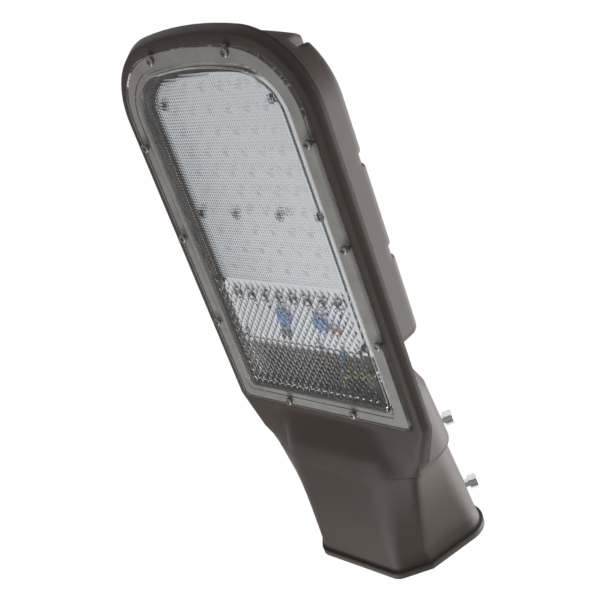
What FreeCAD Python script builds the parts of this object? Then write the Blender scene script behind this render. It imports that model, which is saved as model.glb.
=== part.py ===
"""Street light head: one die-cast housing that clamps on a pole end, with a diode board behind a
screwed lens cover. Millimetres. The origin is the middle of the socket's mouth, on its axis:
+Y runs from the mouth to the nose, +Z is up, and the light leaves towards -Z."""
import FreeCAD
import Part
import Sketcher
import math
import os
import re
from FreeCAD import Placement, Rotation, Vector

doc = FreeCAD.newDocument("street_light")
sheet = doc.addObject("Spreadsheet::Sheet", "sizes")

# Driving dimensions
SIZES = (
    ("bore_radius", 26.0, "socket for the pole end"),
    ("bore_depth", 84.0, "from the mouth to the stop"),
    ("lens_start", 120.0, "from the mouth to the lens's lower edge"),
    ("lens_width", 150.0, "lens cover over its flange"),
    ("lens_length", 251.0, "lens cover from its lower edge to its nose"),
    ("lens_corner", 42.0, "radius of the lens's upper corners"),
    ("lens_nose", 250.0, "radius of the lens's nose"),
    ("foot_corner", 5.0, "radius of the lens's lower corners"),
    ("lens_gap", 0.3, "play of the lens in its recess"),
    ("lens_rise", 2.4, "lens flange proud of the rim face"),
    ("flange_width", 12.0, "lens flange, seat to panel"),
    ("flange_thick", 3.0, "lens flange"),
    ("panel_rise", 1.0, "lens panel proud of its flange"),
    ("panel_thick", 2.4, "lens panel"),
    ("panel_step", 2.0, "hollow of the lens panel inside the flange"),
    ("gasket_thick", 1.6, "lens gasket, compressed"),
    ("gasket_margin", 0.8, "gasket inside the flange edges"),
    ("rim_drop", 20.0, "rim face below the socket axis"),
    ("rim_width", 6.4, "rim face round the lens"),
    ("rim_depth", 6.0, "edge of the rim"),
    ("rim_draft", 29.5, "slope of the rim's edge, in degrees, so that it widens upwards"),
    ("shell_inset", 1.1, "shell behind the rim, set in from the edge of the rim face"),
    ("back_height", 27.0, "rim face to the top of the ribs"),
    ("back_round", 4.0, "round along the top edge of the ribs"),
    ("nose_back", 10.0, "slope of the ribs' nose ends, back from the lens's nose"),
    ("nose_fall", 15.0, "slope of the ribs' nose ends, down to the lens's nose"),
    ("rib_start", 53.0, "lens's lower edge to the ribs' lower end"),
    ("rib_pitch", 16.4, "cooling groove to cooling groove"),
    ("groove_width", 5.0, "cooling groove at its floor"),
    ("groove_flare", 0.8, "cooling groove, draft of each wall"),
    ("groove_depth", 11.0, "cooling groove"),
    ("groove_runout", 20.0, "travel of a groove's cutter past the ribs' lower end"),
    ("cross_depth", 4.5, "cross channel"),
    ("cross_width", 5.0, "cross channel"),
    ("cross_first", 112.0, "lens's lower edge to the lower cross channel"),
    ("cross_second", 169.6, "lens's lower edge to the upper cross channel"),
    ("cross_round", 3.0, "round along the edges of a cross channel"),
    ("ledge_width", 12.0, "lens seat, between the lens edge and the cavity"),
    ("board_depth", 8.0, "face of the diode board behind the rim face"),
    ("board_thick", 1.6, "diode board"),
    ("board_inset", 18.5, "edge of the diode board inside the lens edge"),
    ("board_start", 46.0, "lens's lower edge to the board's lower edge"),
    ("well_width", 88.0, "wiring well below the board"),
    ("well_height", 24.0, "wiring well, from the rim face up"),
    ("well_length", 27.0, "wiring well along the part"),
    ("gland_wall", 4.0, "wall between the wiring well and the cable chamber"),
    ("chamber_width", 100.0, "cable chamber behind the socket"),
    ("chamber_floor", 11.5, "floor of the cable chamber below the socket axis"),
    ("chamber_top", 23.0, "top of the cable chamber above the socket axis"),
    ("chamber_slope", 14.0, "bevel of the chamber's upper corners"),
    ("chamber_foot", 6.0, "bevel of the chamber's lower corners"),
    ("pocket_crest", 1.1, "top of a mouth pocket's outer wall, as a share of the neck's round"),
    ("pocket_shelf", 1.15, "upper inner corner of a mouth pocket, as a share of the tube"),
    ("pocket_side", 0.84, "lower inner corner of a mouth pocket, sideways, as a share of the tube"),
    ("pocket_dip", 0.62, "lower inner corner of a mouth pocket, downwards, as a share of the tube"),
    ("passage_radius", 10.0, "cable way from the socket into the chamber"),
    ("stop_thick", 4.0, "stop for the pole end, between the socket and the chamber"),
    ("overrun", 1.0, "travel of a cut past a face, and of a body into its neighbour"),
    ("gland_side", 20.0, "cable gland beside the middle, towards -X"),
    ("gland_drop", 4.0, "cable gland below the socket axis"),
    ("gland_radius", 5.0, "thread of the cable gland"),
    ("gland_hex", 13.0, "cable gland across flats"),
    ("gland_flange", 4.0, "hexagon of the gland's body"),
    ("gland_nut", 4.0, "locknut of the cable gland"),
    ("gland_cap", 11.0, "cap of the cable gland"),
    ("gland_skirt", 1.5, "wall of the gland's cap"),
    ("cable_radius", 2.6, "way for the cable through the gland"),
    ("roof_thick", 4.0, "casting behind the lamp cavity, below the ribs"),
    ("roof_margin", 4.5, "casting beside the lamp cavity, below the ribs"),
    ("shoulder_round", 10.0, "round of the rim's lower corners"),
    ("shoulder_half", 70.5, "half width of the shoulder, halfway down"),
    ("shoulder_mid", 93.0, "from the mouth to the middle of the shoulder"),
    ("step_half", 64.0, "half width where the shoulder meets the neck"),
    ("rim_tuck", 3.6, "rim face drawn in where it runs out beside the neck"),
    ("step_start", 78.0, "from the mouth to the end of the shoulder"),
    ("ramp_start", 115.0, "from the mouth to the head of the neck's ramp"),
    ("ramp_drop", 29.7, "flat front below the socket axis, halfway down the shoulder"),
    ("ramp_half", 23.0, "half width of the flat front, at the head of the ramp"),
    ("ramp_half_mid", 30.0, "half width of the flat front, halfway down the shoulder"),
    ("fold_share", 0.42, "place of the fold between the front and the cheek, as a share"),
    ("fold_lift", 3.0, "hollow of that fold, halfway down the shoulder"),
    ("dome_bend", 2.0, "lens's lower edge to the bend of the dome's back"),
    ("dome_half", 63.5, "half width of the dome, at the neck"),
    ("dome_half_bend", 61.0, "half width of the dome, at its bend"),
    ("dome_half_end", 50.0, "half width of the dome, at the ribs"),
    ("dome_back", 36.0, "dome above the socket axis, at the neck"),
    ("dome_back_bend", 31.0, "dome above the socket axis, at its bend"),
    ("dome_back_end", 5.0, "dome above the socket axis, at the ribs"),
    ("dome_corner", 30.0, "round of the dome's back corners, at the neck"),
    ("dome_corner_bend", 27.0, "round of the dome's back corners, at its bend"),
    ("dome_corner_end", 8.0, "round of the dome's back corners, at the ribs"),
    ("neck_front", 31.0, "flat front below the socket axis, at the shoulder"),
    ("neck_front_low", 37.8, "flat front below the socket axis, at the mouth"),
    ("front_half", 37.0, "half width of the flat front, at the shoulder"),
    ("front_half_low", 34.5, "half width of the flat front, at the mouth"),
    ("front_soft", 9.0, "softening of the front's edges, at the shoulder"),
    ("front_soft_low", 4.0, "softening of the front's edges, at the mouth"),
    ("neck_cheek", 62.4, "half width where cheek and side meet, at the shoulder"),
    ("neck_cheek_low", 45.2, "half width where cheek and side meet, at the mouth"),
    ("neck_bow", 1.2, "hollow of that meeting line, halfway down the neck"),
    ("neck_half", 61.0, "half width of the neck, at the shoulder"),
    ("neck_half_low", 56.5, "half width of the neck, at the mouth"),
    ("neck_back", 33.8, "neck above the socket axis, at the shoulder"),
    ("neck_back_low", 37.5, "neck above the socket axis, at the mouth"),
    ("neck_corner", 29.5, "round of the neck's back corners, at the shoulder"),
    ("neck_corner_low", 14.0, "round of the neck's back corners, at the mouth"),
    ("flare_length", 8.0, "flare of the neck above the lip"),
    ("neck_flare", 3.2, "flare of the neck's sides at the lip"),
    ("socket_wall", 5.5, "wall of the socket beside the mouth's pockets"),
    ("mouth_wall", 4.5, "neck wall outside the mouth's pockets"),
    ("pocket_depth", 62.0, "pockets beside the socket, from the mouth"),
    ("lip_thick", 4.5, "lip round the mouth"),
    ("lip_rise", 2.0, "lip proud of the neck"),
    ("clamp_angle", 38.0, "clamp screws, off the vertical"),
    ("clamp_first", 15.5, "from the mouth to the lower clamp screw"),
    ("clamp_second", 72.5, "from the mouth to the upper clamp screw"),
    ("clamp_radius", 3.0, "thread of a clamp screw"),
    ("clamp_head", 5.0, "head radius of a clamp screw"),
    ("clamp_head_height", 6.0, "head of a clamp screw"),
    ("clamp_socket", 2.5, "half of a clamp screw's key size"),
    ("clamp_key_depth", 3.0, "key socket of a clamp screw"),
    ("clamp_length", 30.0, "clamp screw below its head"),
    ("clamp_stand", 3.5, "head of a clamp screw off its boss, with no pole in the socket"),
    ("boss_radius", 7.5, "boss under a clamp screw, at its face"),
    ("boss_foot", 12.0, "boss under a clamp screw, at its root"),
    ("boss_depth", 8.0, "root of a boss outside the bore"),
    ("boss_reach_first", 58.0, "socket axis to the lower boss's face"),
    ("boss_reach_second", 55.0, "socket axis to the upper boss's face"),
    ("screw_edge", 3.3, "lens screw inside the lens edge"),
    ("screw_radius", 1.5, "lens and board screws, thread"),
    ("screw_head", 2.75, "lens and board screws, head radius"),
    ("screw_head_height", 1.8, "lens and board screws, head"),
    ("screw_length", 12.0, "lens screw below its head"),
    ("screw_low", 62.0, "lens's lower edge to the lowest side screw"),
    ("screw_pitch", 64.5, "side screw to side screw"),
    ("screw_nose_side", 33.0, "nose screw beside the middle"),
    ("screw_foot_side", 29.0, "foot screw beside the middle"),
    ("hole_play", 0.2, "play of a screw in a clearance hole"),
    ("foot_screw_edge", 4.0, "foot screw inside the lens's lower edge"),
    ("head_dome", 0.45, "round of a pan head, as a share of its height"),
    ("recess_arm", 0.58, "arm of a cross recess, as a share of the head's radius"),
    ("recess_slit", 0.13, "half width of a cross recess, as a share of the head's radius"),
    ("recess_sink", 0.55, "depth of a cross recess, as a share of the head's height"),
    ("board_screw_length", 5.0, "board screw below its head"),
    ("board_screw_row", 142.0, "lens's lower edge to the middle row of board screws"),
    ("board_screw_edge", 4.5, "outer board screws inside the board's edge"),
    ("board_screw_inner", 19.4, "inner board screws beside the middle"),
    ("board_screw_top", 215.0, "lens's lower edge to the top board screws"),
    ("board_screw_top_edge", 9.0, "top board screws inside the board's edge"),
    ("board_screw_foot", 52.0, "lens's lower edge to the lowest board screws"),
    ("board_screw_foot_edge", 5.5, "lowest board screws inside the board's edge"),
    ("diode_pitch_x", 16.0, "diode to diode across the board"),
    ("diode_pitch_y", 13.3, "diode to diode along the board"),
    ("diode_start", 103.5, "lens's lower edge to the first row of diodes"),
    ("diode_width", 3.0, "diode package"),
    ("diode_length", 3.0, "diode package"),
    ("diode_height", 0.8, "diode package"),
    ("chip_pitch", 12.7, "driver chip to driver chip"),
    ("chip_start", 83.5, "lens's lower edge to the row of driver chips"),
    ("chip_size", 6.2, "driver chip"),
    ("chip_height", 2.2, "driver chip"),
    ("varistor_left_side", 7.5, "left varistor beside the middle, towards +X"),
    ("varistor_left_start", 69.0, "lens's lower edge to the left varistor"),
    ("varistor_right_side", 24.0, "right varistor beside the middle, towards -X"),
    ("varistor_right_start", 67.5, "lens's lower edge to the right varistor"),
    ("varistor_radius", 6.0, "varistor disc"),
    ("varistor_thick", 4.2, "varistor disc"),
    ("varistor_round", 1.6, "varistor disc, round edge"),
    ("rectifier_width", 8.0, "bridge rectifier"),
    ("rectifier_length", 6.4, "bridge rectifier"),
    ("rectifier_height", 2.6, "bridge rectifier"),
    ("rectifier_side", 11.5, "bridge rectifier beside the middle, towards +X"),
    ("rectifier_start", 56.5, "lens's lower edge to the bridge rectifier"),
    ("fuse_side", 35.0, "fuse resistor beside the middle, towards -X"),
    ("fuse_start", 63.0, "lens's lower edge to the fuse resistor"),
    ("fuse_radius", 1.7, "fuse resistor"),
    ("fuse_length", 8.0, "fuse resistor"),
    ("sense_width", 3.2, "sense resistor"),
    ("sense_length", 1.6, "sense resistor"),
    ("sense_height", 0.6, "sense resistor"),
    ("sense_step", 7.0, "driver chip to its sense resistor"),
    ("lug_radius", 4.0, "ring of the earth lug"),
    ("lug_thick", 0.8, "earth lug"),
    ("lug_tail", 9.0, "earth lug, ring to barrel end"),
    ("lug_edge", 8.0, "earth screw inside the cavity wall, towards -X"),
    ("lug_start", 31.0, "lens's lower edge to the earth screw"),
    ("earth_screw_length", 3.6, "earth screw below its head"),
    ("lug_overlap", 0.7, "tail of the earth lug inside its ring, as a share of the ring"),
    ("wire_early", 0.4, "sideways run of a lead up to its second bend, as a share"),
    ("wire_late", 0.8, "sideways run of a lead up to its third bend, as a share"),
    ("wire_radius", 1.1, "lead over its insulation"),
    ("wire_spread", 1.2, "live and neutral leads beside the gland's axis"),
    ("wire_lift", 0.7, "live and neutral leads above the gland's axis"),
    ("wire_drop", 1.4, "earth lead below the gland's axis"),
    ("wire_straight", 10.0, "live and neutral leads straight on past the locknut"),
    ("wire_turn", 7.0, "earth lead straight on past the locknut"),
    ("wire_run", 9.0, "leads along the wiring well after that"),
    ("wire_dip", 6.0, "fall of the leads in the wiring well"),
    ("wire_hop", 1.7, "leads over the board's edge"),
    ("wire_landing", 5.5, "leads past the board's edge"),
    ("live_side", 15.5, "end of the live lead beside the middle, towards -X"),
    ("neutral_side", 35.0, "end of the neutral lead beside the middle, towards -X"),
)
DIODE_COLUMNS = 6
DIODE_ROWS = 10
CHIP_COUNT = 8
GROOVES_EACH_SIDE = 4
SIDE_SCREWS = 3

ALIASES = {alias for alias, number, use in SIZES}
for row, (alias, number, use) in enumerate(SIZES, start=1):
    sheet.set(f"A{row}", use)
    sheet.set(f"B{row}", str(number))
    sheet.setAlias(f"B{row}", alias)
doc.recompute()


def formula(text):
    """An expression on the sheet, from one written with its aliases alone."""
    return re.sub(r"[a-z_]+", lambda word: f"sizes.{word[0]}" if word[0] in ALIASES else word[0], str(text))


def value(text):
    """The number that such an expression has now."""
    return float(sheet.evalExpression(formula(text)))


# Sketches and features that the bodies share

def new_body(label):
    body = doc.addObject("PartDesign::Body", label)
    body.Label = label
    return body


def new_sketch(body, plane, offset):
    """A sketch on one of the body's own planes, moved along the plane's normal."""
    sketch = body.newObject("Sketcher::SketchObject", "outline")
    base = next(item for item in body.Origin.OriginFeatures if item.Role == plane)
    sketch.AttachmentSupport = [(base, "")]
    sketch.MapMode = "FlatFace"
    sketch.setExpression("AttachmentOffset.Base.z", formula(offset))
    return sketch


def drive(sketch, kind, *target, to):
    """A driving constraint whose value is an expression on the sheet."""
    index = sketch.addConstraint(Sketcher.Constraint(kind, *target, value(to)))
    sketch.setExpression(f"Constraints[{index}]", formula(to))


def pin(sketch, edge, end, x, y):
    drive(sketch, "DistanceX", -1, 1, edge, end, to=x)
    drive(sketch, "DistanceY", -1, 1, edge, end, to=y)


def join(sketch, first, second, tangent=False):
    kind = "Tangent" if tangent else "Coincident"
    sketch.addConstraint(Sketcher.Constraint(kind, first, 2, second, 1))


def line(sketch, start, end):
    return sketch.addGeometry(Part.LineSegment(Vector(*start, 0), Vector(*end, 0)))


def arc(sketch, centre, radius, start, end):
    """An arc that runs anticlockwise between two angles in radians."""
    circle = Part.Circle(Vector(*centre, 0), Vector(0, 0, 1), radius)
    return sketch.addGeometry(Part.ArcOfCircle(circle, start, end))


def polygon(sketch, points):
    """A closed outline of straight lines through points given as pairs of expressions."""
    places = [(value(x), value(y)) for x, y in points]
    edges = [line(sketch, places[i - 1], places[i]) for i in range(len(places))]
    for i, (x, y) in enumerate(points):
        join(sketch, edges[i - 1], edges[i])
        pin(sketch, edges[i], 2, x, y)


def mirrored(points):
    """A right-hand half outline, listed upwards, with its left-hand half."""
    return list(points) + [(f"-({x})", y) for x, y in reversed(points)]


def circles(sketch, centres, radius):
    for x, y in centres:
        edge = sketch.addGeometry(Part.Circle(Vector(value(x), value(y), 0), Vector(0, 0, 1), value(radius)))
        pin(sketch, edge, 3, x, y)
        drive(sketch, "Radius", edge, to=radius)


def nose_arcs(sketch, grow):
    """The round nose of the lens, grown outwards: the arcs and both sides' upper ends."""
    plain = ("lens_width / 2", "lens_corner", "lens_nose")
    half, corner, nose = (value(f"{size} + {grow}") for size in plain)
    middle = value("lens_start + lens_length - lens_nose")
    spread = math.acos((half - corner) / (nose - corner))
    shoulder = middle + (nose - corner) * math.sin(spread)
    right = arc(sketch, (half - corner, shoulder), corner, 0, spread)
    top = arc(sketch, (0, middle), nose, spread, math.pi - spread)
    left = arc(sketch, (corner - half, shoulder), corner, math.pi - spread, math.pi)
    join(sketch, right, top, tangent=True)
    join(sketch, top, left, tangent=True)
    pin(sketch, top, 3, 0, "lens_start + lens_length - lens_nose")
    drive(sketch, "Radius", top, to=f"lens_nose + {grow}")
    drive(sketch, "Radius", right, to=f"lens_corner + {grow}")
    drive(sketch, "Radius", left, to=f"lens_corner + {grow}")
    return right, left, half, shoulder


def lens_loop(sketch, grow, foot, corner):
    """The lens's outline, grown outwards, with a straight foot and round lower corners."""
    right, left, half, shoulder = nose_arcs(sketch, grow)
    low, turn = value(foot), value(corner)
    left_side = line(sketch, (-half, shoulder), (-half, low + turn))
    left_turn = arc(sketch, (turn - half, low + turn), turn, math.pi, 1.5 * math.pi)
    foot_line = line(sketch, (turn - half, low), (half - turn, low))
    right_turn = arc(sketch, (half - turn, low + turn), turn, 1.5 * math.pi, 2 * math.pi)
    right_side = line(sketch, (half, low + turn), (half, shoulder))
    loop = (left, left_side, left_turn, foot_line, right_turn, right_side, right)
    for first, second in zip(loop, loop[1:]):
        join(sketch, first, second, tangent=True)
    for side, sign in ((left_side, "-"), (right_side, "")):
        sketch.addConstraint(Sketcher.Constraint("Vertical", side))
        drive(sketch, "DistanceX", -1, 1, side, 1, to=f"{sign}(lens_width / 2 + {grow})")
    sketch.addConstraint(Sketcher.Constraint("Horizontal", foot_line))
    drive(sketch, "DistanceY", -1, 1, foot_line, 1, to=foot)
    for turning in (left_turn, right_turn):
        drive(sketch, "Radius", turning, to=corner)


def shouldered_loop(sketch, grow, tail):
    """The lens's outline, grown outwards, that runs down into sloping shoulders."""
    right, left, half, shoulder = nose_arcs(sketch, grow)
    points = [(f"-({x})", y) for x, y in tail] + list(reversed(tail))
    places = [(-half, shoulder)] + [(value(x), value(y)) for x, y in points] + [(half, shoulder)]
    edges = [line(sketch, start, end) for start, end in zip(places, places[1:])]
    join(sketch, left, edges[0], tangent=True)
    for first, second in zip(edges, edges[1:]):
        join(sketch, first, second)
    join(sketch, edges[-1], right, tangent=True)
    for edge, (x, y) in zip(edges, points):
        pin(sketch, edge, 2, x, y)


def front_corner(front, cheek, soft):
    """Both ends of the arc that softens the corner between a flat front and its cheek."""
    run = tuple(f"({far} - ({near_by}))" for near_by, far in zip(front, cheek))
    share = f"({soft}) / sqrt({run[0]} ^ 2 + {run[1]} ^ 2)"
    return (f"{front[0]} - {soft}", front[1]), tuple(f"{at} + {share} * {by}" for at, by in zip(front, run))


def front_arc(sketch, start, end):
    """The arc between those ends that leaves the flat front smoothly, and its mirror image."""
    (start_x, start_z), (end_x, end_z) = [(value(x), value(z)) for x, z in (start, end)]
    turn = 2 * math.atan2(end_z - start_z, end_x - start_x)
    radius = (end_x - start_x) / math.sin(turn)
    centre_z, quarter = start_z + radius, math.pi / 2
    right = arc(sketch, (start_x, centre_z), radius, -quarter, turn - quarter)
    left = arc(sketch, (-start_x, centre_z), radius, -quarter - turn, -quarter)
    pin(sketch, right, 2, *end)
    pin(sketch, left, 1, f"-({end[0]})", end[1])
    return right, left


def neck_section(sketch, front, cheek, half, back, corner, soft):
    """A section of the neck: flat front with soft edges, sloping cheeks, sides and a round-cornered back."""
    start, end = front_corner(front, cheek, soft)
    front_x, front_z = (value(text) for text in start)
    end_x, end_z = (value(text) for text in end)
    cheek_x, cheek_z = (value(text) for text in cheek)
    round_x, round_z = f"{half} - {corner}", f"{back} - {corner}"
    centre_x, centre_z, radius = value(round_x), value(round_z), value(corner)
    away = math.hypot(cheek_x - centre_x, cheek_z - centre_z)
    lean = math.atan2(cheek_z - centre_z, cheek_x - centre_x) + math.acos(radius / away)
    touch = (centre_x + radius * math.cos(lean), centre_z + radius * math.sin(lean))
    quarter = math.pi / 2
    soft_right, soft_left = front_arc(sketch, start, end)
    loop = (
        line(sketch, (-front_x, front_z), (front_x, front_z)),
        soft_right,
        line(sketch, (end_x, end_z), (cheek_x, cheek_z)),
        line(sketch, (cheek_x, cheek_z), touch),
        arc(sketch, (centre_x, centre_z), radius, lean, quarter),
        line(sketch, (centre_x, value(back)), (-centre_x, value(back))),
        arc(sketch, (-centre_x, centre_z), radius, quarter, math.pi - lean),
        line(sketch, (-touch[0], touch[1]), (-cheek_x, cheek_z)),
        line(sketch, (-cheek_x, cheek_z), (-end_x, end_z)),
        soft_left,
    )
    for place, edge in enumerate(loop):
        join(sketch, loop[place - 1], edge, tangent=place in (0, 1, 4, 5, 6, 7))
    pin(sketch, loop[0], 2, *start)
    pin(sketch, loop[0], 1, f"-({start[0]})", start[1])
    pin(sketch, loop[2], 2, *cheek)
    pin(sketch, loop[7], 2, f"-({cheek[0]})", cheek[1])
    pin(sketch, loop[4], 3, round_x, round_z)
    pin(sketch, loop[6], 3, f"-({round_x})", round_z)
    drive(sketch, "Radius", loop[4], to=corner)
    drive(sketch, "Radius", loop[6], to=corner)


def ramp_section(sketch, front, cheek, top, soft, lift):
    """A section of the ramp: flat front with soft edges, folded cheeks and a flat top inside the rim."""
    start, end = front_corner(front, cheek, soft)
    fold = tuple(f"{at} + fold_share * ({far} - ({at})) + {by}" for at, far, by in zip(front, cheek, ("0", lift)))
    corner = (cheek[0], top)
    places = [tuple(value(text) for text in place) for place in (start, end, fold, cheek, corner)]
    (front_x, front_z), outline = places[0], places[1:]
    soft_right, soft_left = front_arc(sketch, start, end)
    mirror = [(-x, z) for x, z in reversed(outline)]
    loop = (
        line(sketch, (-front_x, front_z), (front_x, front_z)),
        soft_right,
        *(line(sketch, near_by, far) for near_by, far in zip(outline, outline[1:])),
        line(sketch, outline[-1], mirror[0]),
        *(line(sketch, near_by, far) for near_by, far in zip(mirror, mirror[1:])),
        soft_left,
    )
    for place, edge in enumerate(loop):
        join(sketch, loop[place - 1], edge, tangent=place in (0, 1))
    pin(sketch, loop[0], 2, *start)
    pin(sketch, loop[0], 1, f"-({start[0]})", start[1])
    for edge, (x, z) in zip(loop[2:], (fold, cheek, corner)):
        pin(sketch, edge, 2, x, z)
    for edge, (x, z) in zip(loop[5:], (corner, cheek, fold)):
        pin(sketch, edge, 2, f"-({x})", z)


def pad(body, sketch, length):
    feature = body.newObject("PartDesign::Pad", "pad")
    feature.Profile = sketch
    feature.setExpression("Length", formula(length))
    return feature


def pocket(body, sketch, length, upwards=True):
    """A cut along the sketch's normal, or against it."""
    feature = body.newObject("PartDesign::Pocket", "pocket")
    feature.Profile = sketch
    feature.Reversed = upwards
    feature.setExpression("Length", formula(length))
    return feature


def loft(body, sections):
    feature = body.newObject("PartDesign::AdditiveLoft", "loft")
    feature.Profile = sections[0]
    feature.Sections = sections[1:]
    feature.Ruled = True
    return feature


def edges_where(feature, test):
    """The names of the feature's edges whose middle point passes a test."""
    shape = feature.Shape
    names = []
    for index, edge in enumerate(shape.Edges, start=1):
        middle = edge.valueAt((edge.FirstParameter + edge.LastParameter) / 2)
        if test(edge, middle):
            names.append(f"Edge{index}")
    return names


def fillet(body, base, test, radius):
    doc.recompute()
    feature = body.newObject("PartDesign::Fillet", "fillet")
    feature.Base = (base, edges_where(base, test))
    feature.setExpression("Radius", formula(radius))
    return feature


def near(first, second, reach=0.05):
    return abs(first - second) < reach


def solids_at(label, shape, places):
    """One node of like pieces: the same shape at each of several placements."""
    group = doc.addObject("Part::Feature", label)
    group.Label = label
    copies = []
    for place in places:
        copy = shape.copy()
        copy.Placement = place.multiply(copy.Placement)
        copies.append(copy)
    group.Shape = Part.makeCompound(copies)
    return group


subparts = []

# Housing: one aluminium casting with the lens seat, cooling ribs, wiring well, neck and socket
housing = new_body("housing")
RIM_GROW = "(lens_gap + rim_width)"
SHELL_GROW = "(lens_gap + rim_width - shell_inset)"
RIM_HALF = f"lens_width / 2 + {RIM_GROW}"
FLOOR = "(board_depth + board_thick)"

rim_sketch = new_sketch(housing, "XY_Plane", "-rim_drop")
shouldered_loop(rim_sketch, RIM_GROW, (
    (RIM_HALF, "lens_start"),
    ("shoulder_half", "shoulder_mid"),
    ("step_half - 2 * rim_tuck", "step_start"),
))
rim = pad(housing, rim_sketch, "rim_depth")
rim.setExpression("TaperAngle", formula("rim_draft"))
rim_low = value("lens_start")


def shoulder_corner(edge, middle):
    upright = near(middle.z, value("rim_depth / 2 - rim_drop"))
    return upright and near(middle.y, rim_low, value("rim_depth / 2"))


fillet(housing, rim, shoulder_corner, "shoulder_round")

# Roof of the lamp cavity below the ribs
roof_sketch = new_sketch(housing, "XY_Plane", "rim_depth / 2 - rim_drop")
ROOF_HALF = "lens_width / 2 - ledge_width + roof_margin"
polygon(roof_sketch, mirrored([
    (ROOF_HALF, "lens_start + ledge_width - roof_margin"),
    (ROOF_HALF, "lens_start + rib_start + foot_corner * 2 + overrun"),
]))
pad(housing, roof_sketch, f"{FLOOR} + roof_thick - rim_depth / 2")

shell_sketch = new_sketch(housing, "XY_Plane", "rim_depth / 2 - rim_drop")
lens_loop(shell_sketch, SHELL_GROW, "lens_start + rib_start", "foot_corner * 2")
shell = pad(housing, shell_sketch, "back_height - rim_depth / 2")
top = value("back_height - rim_drop")
fillet(housing, shell, lambda edge, middle: near(middle.z, top), "back_round")

# Cross channels over the ribs, with round edges
cross_sketch = new_sketch(housing, "YZ_Plane", f"-({RIM_HALF})")
for place in ("cross_first", "cross_second"):
    low, high = (f"lens_start + {place} {sign} cross_width / 2" for sign in "-+")
    roof, bed = "back_height - rim_drop + overrun", "back_height - rim_drop - cross_depth"
    polygon(cross_sketch, [(low, bed), (high, bed), (high, roof), (low, roof)])
crossed = pocket(housing, cross_sketch, f"2 * ({RIM_HALF})")
channel_edges = [
    value(f"lens_start + {place} {sign} cross_width / 2")
    for place in ("cross_first", "cross_second") for sign in "-+"
]
fillet(
    housing, crossed,
    lambda edge, middle: near(middle.z, top) and any(near(middle.y, place) for place in channel_edges),
    "cross_round")

# Slope that brings the ribs down to the rim at the nose
slope_sketch = new_sketch(housing, "YZ_Plane", f"-({RIM_HALF})")
NOSE = "lens_start + lens_length"
NOSE_RUN = "nose_back / nose_fall"
SLOPE_TOP, SLOPE_FOOT = "back_height - rim_drop + overrun", "rim_depth - rim_drop + overrun"
polygon(slope_sketch, [
    (f"{NOSE} - nose_back - {NOSE_RUN} * overrun", SLOPE_TOP),
    (f"{NOSE} - nose_back + {NOSE_RUN} * (back_height - rim_depth - overrun)", SLOPE_FOOT),
    (f"{NOSE} + nose_back", SLOPE_FOOT),
    (f"{NOSE} + nose_back", SLOPE_TOP),
])
pocket(housing, slope_sketch, f"2 * ({RIM_HALF})")

# Lengthwise cooling grooves, open at the nose and at the ribs' lower end
groove_sketch = new_sketch(housing, "XZ_Plane", "-(lens_start + rib_start - groove_runout)")
for step in range(-GROOVES_EACH_SIDE, GROOVES_EACH_SIDE + 1):
    middle, half = f"{step} * rib_pitch", "groove_width / 2"
    bed, roof = "back_height - rim_drop - groove_depth", "back_height - rim_drop + overrun"
    polygon(groove_sketch, [
        (f"{middle} - {half}", bed),
        (f"{middle} + {half}", bed),
        (f"{middle} + {half} + groove_flare", roof),
        (f"{middle} - {half} - groove_flare", roof),
    ])
pocket(housing, groove_sketch, "lens_length + groove_runout", upwards=False)

# Wiring dome behind the shoulders
dome_sections = []
for station, half, back, corner in (
    ("lens_start + rib_start - overrun", "dome_half_end", "dome_back_end", "dome_corner_end"),
    ("lens_start + dome_bend", "dome_half_bend", "dome_back_bend", "dome_corner_bend"),
    ("step_start", "dome_half", "dome_back", "dome_corner"),
):
    sketch = new_sketch(housing, "XZ_Plane", f"-({station})")
    foot = (f"{half} - 2 * overrun", "2 * overrun - rim_drop")
    cheek = (half, "rim_depth - 2 * overrun - rim_drop")
    neck_section(sketch, foot, cheek, half, back, corner, "overrun / 2")
    dome_sections.append(sketch)
loft(housing, dome_sections)

# Ramp of the neck's front
SHOULDER_SHARE = "(ramp_start - shoulder_mid) / (lens_start - shoulder_mid)"
RAMP_HALF = f"shoulder_half + ({RIM_HALF} - shoulder_half) * {SHOULDER_SHARE}"
ramp_sections = []
for station, half, front, lift in (
    ("ramp_start", RAMP_HALF, ("ramp_half", "overrun / 2 - rim_drop"), "0"),
    ("shoulder_mid", "shoulder_half", ("ramp_half_mid", "-ramp_drop"), "fold_lift"),
    ("step_start", "step_half", ("front_half", "-neck_front"), "0"),
):
    sketch = new_sketch(housing, "XZ_Plane", f"-({station})")
    cheek = (f"{half} - overrun", "overrun - rim_drop")
    ramp_section(sketch, front, cheek, "rim_depth - overrun - rim_drop", "front_soft", lift)
    ramp_sections.append(sketch)
loft(housing, ramp_sections)


# Neck from the shoulders to the mouth
def neck_at(station, flare, rise="0"):
    """The neck's section at a place along +Y, flared at its sides and raised all round."""
    share = f"({station}) / step_start"

    def between(low, high):
        return f"({low} + ({high} - {low}) * {share})"

    grow = f"{flare} + {rise}"
    hollow = f"neck_bow * 4 * {share} * (1 - {share})"
    front_drop = between("neck_front_low", "neck_front")
    front = (between("front_half_low", "front_half"), f"-{front_drop} - {rise}")
    cheek_half = between("neck_cheek_low", "neck_cheek")
    cheek = (f"{cheek_half} - {hollow} + {grow}", f"-rim_drop - {rise} / 2")
    half = between("neck_half_low", "neck_half")
    back = between("neck_back_low", "neck_back")
    corner = between("neck_corner_low", "neck_corner")
    soft = between("front_soft_low", "front_soft")
    return front, cheek, f"({half} + {grow})", f"({back} + {rise})", f"({corner} + {grow})", soft


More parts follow.
